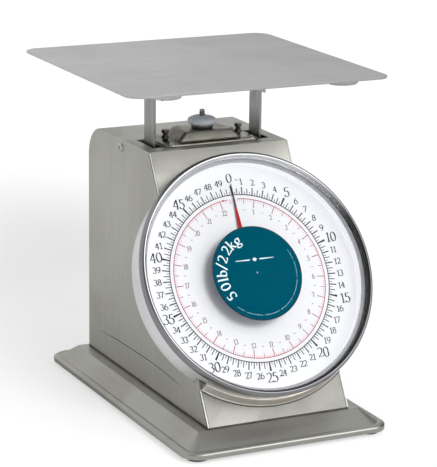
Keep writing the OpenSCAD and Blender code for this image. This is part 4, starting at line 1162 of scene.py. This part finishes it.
softEdges = {"platform": 0.5, "post_left": 0.3, "post_right": 0.3, "left_side_panel": 0.45,
             "right_side_panel": 0.45, "shell_wrap": 0.4, "lower_front_panel": 0.35, "rear_cover": 0.35,
             "platform_cups": 0.3}


def finishNodes():
    record = frame["record"]
    slots = {entry["node"]: entry["material_slot"] for entry in record["subparts"]}
    for name, node in frame["nodes"].items():
        node.data.materials.clear()
        node.data.materials.append(finish[ownFinish.get(name) or slotFinish[slots[name]]])
        if node.hide_render:
            continue
        if name == "lens_gasket":
            node.visible_shadow = False
        weld = node.modifiers.new("weld", "WELD")
        weld.merge_threshold = 0.000004
        bevel = node.modifiers.new("edges", "BEVEL")
        bevel.width = softEdges.get(name, 0.2) * mm
        bevel.segments = 3 if name in softEdges else 2
        bevel.limit_method = "ANGLE"
        bevel.angle_limit = radians(38)
        bevel.miter_outer = "MITER_ARC"
        smooth = node.modifiers.new("shading", "WEIGHTED_NORMAL")
        smooth.keep_sharp = False
        smooth.weight = 60


finishNodes()
print("CAD nodes finished")


# floor, light and colour

# shade: where the painted soft shadow lies on the floor, how far it spreads and how deep it is
studio = {"floorSeen": 0.42, "floorMirrored": 0.68, "glow": 0.61, "sky": 0.74, "key": 1.4,
          "keyFrom": (0.15, -0.8, 0.58), "keySoft": 20, "shade": ((0.09, 0.52), (0.17, 0.28), 0.42)}
skyPatches = [  # direction, level, full inside and gone outside this many degrees
    ((0.43, -0.65, 0.62), 1.75, 12, 36),
    ((-0.62, -0.52, 0.58), -0.6, 14, 32),
    ((0.93, 0.1, 0.12), -0.7, 22, 46),
    ((0.43, 0.23, 0.87), -0.12, 14, 42)]


def makeStage():
    material, tree, shader = newMaterial("paleFloor")
    seen = tree.nodes.new("ShaderNodeLightPath").outputs["Is Camera Ray"]
    # the painted soft shadow that trails away behind
    centre, span, deep = studio["shade"]
    place = addNode(tree, "ShaderNodeSeparateXYZ", {0: placeOf(tree)}).outputs
    off = [mathNode(tree, "DIVIDE", mathNode(tree, "SUBTRACT", place[i], centre[i]), span[i]) for i in (0, 1)]
    far = mathNode(tree, "ADD", *(mathNode(tree, "MULTIPLY", share, share) for share in off))
    fall = mathNode(tree, "EXPONENT", mathNode(tree, "MULTIPLY", far, -1))
    kept = mathNode(tree, "SUBTRACT", 1, mathNode(tree, "MULTIPLY", fall, deep))
    glow = mathNode(tree, "MULTIPLY", seen, studio["glow"])
    tones = [(studio[key],) * 3 for key in ("floorMirrored", "floorSeen")]
    setInputs(tree, shader, {"Roughness": 0.9, "Specular IOR Level": 0, "Emission Color": (1, 1, 1, 1),
                             "Base Color": mixColour(tree, seen, *tones),
                             "Emission Strength": mathNode(tree, "MULTIPLY", glow, kept)})
    mesh = bpy.data.meshes.new("paleFloor")
    mesh.from_pydata([(-9, -6, 0), (9, -6, 0), (9, 12, 0), (-9, 12, 0)], [], [(0, 1, 2, 3)])
    mesh.materials.append(material)
    floor = bpy.data.objects.new("paleFloor", mesh)
    bpy.context.collection.objects.link(floor)


def makeWorld():
    world = bpy.data.worlds.new("softStudio")
    world.use_nodes = True
    bpy.context.scene.world = world
    tree = world.node_tree
    sky = placeOf(tree, "Generated")
    level = studio["sky"]
    for direction, amount, inner, outer in skyPatches:
        toward = dotNode(tree, sky, Vector(direction).normalized())
        patch = rangeNode(tree, toward, cos(radians(outer)), cos(radians(inner)), 0, amount,
                          "SMOOTHSTEP")
        level = mathNode(tree, "ADD", patch, level)
    setInputs(tree, tree.nodes["Background"], {"Strength": mathNode(tree, "MAXIMUM", level, 0.02),
                                               "Color": (1, 1, 1, 1)})


def addKey():
    # a broad soft key from the front; the sky alone shapes the reflections
    data = bpy.data.lights.new("softKey", "SUN")
    data.energy = studio["key"]
    data.angle = radians(studio["keySoft"])
    light = bpy.data.objects.new("softKey", data)
    light.matrix_world = Vector(studio["keyFrom"]).to_track_quat("Z", "Y").to_matrix().to_4x4()
    light.visible_glossy = False
    bpy.context.collection.objects.link(light)


makeStage()
makeWorld()
addKey()

scene = bpy.context.scene
scene.view_settings.view_transform = "Standard"
scene.view_settings.look = "None"
scene.view_settings.exposure = 0
scene.view_settings.gamma = 1
print("stage and lights made")
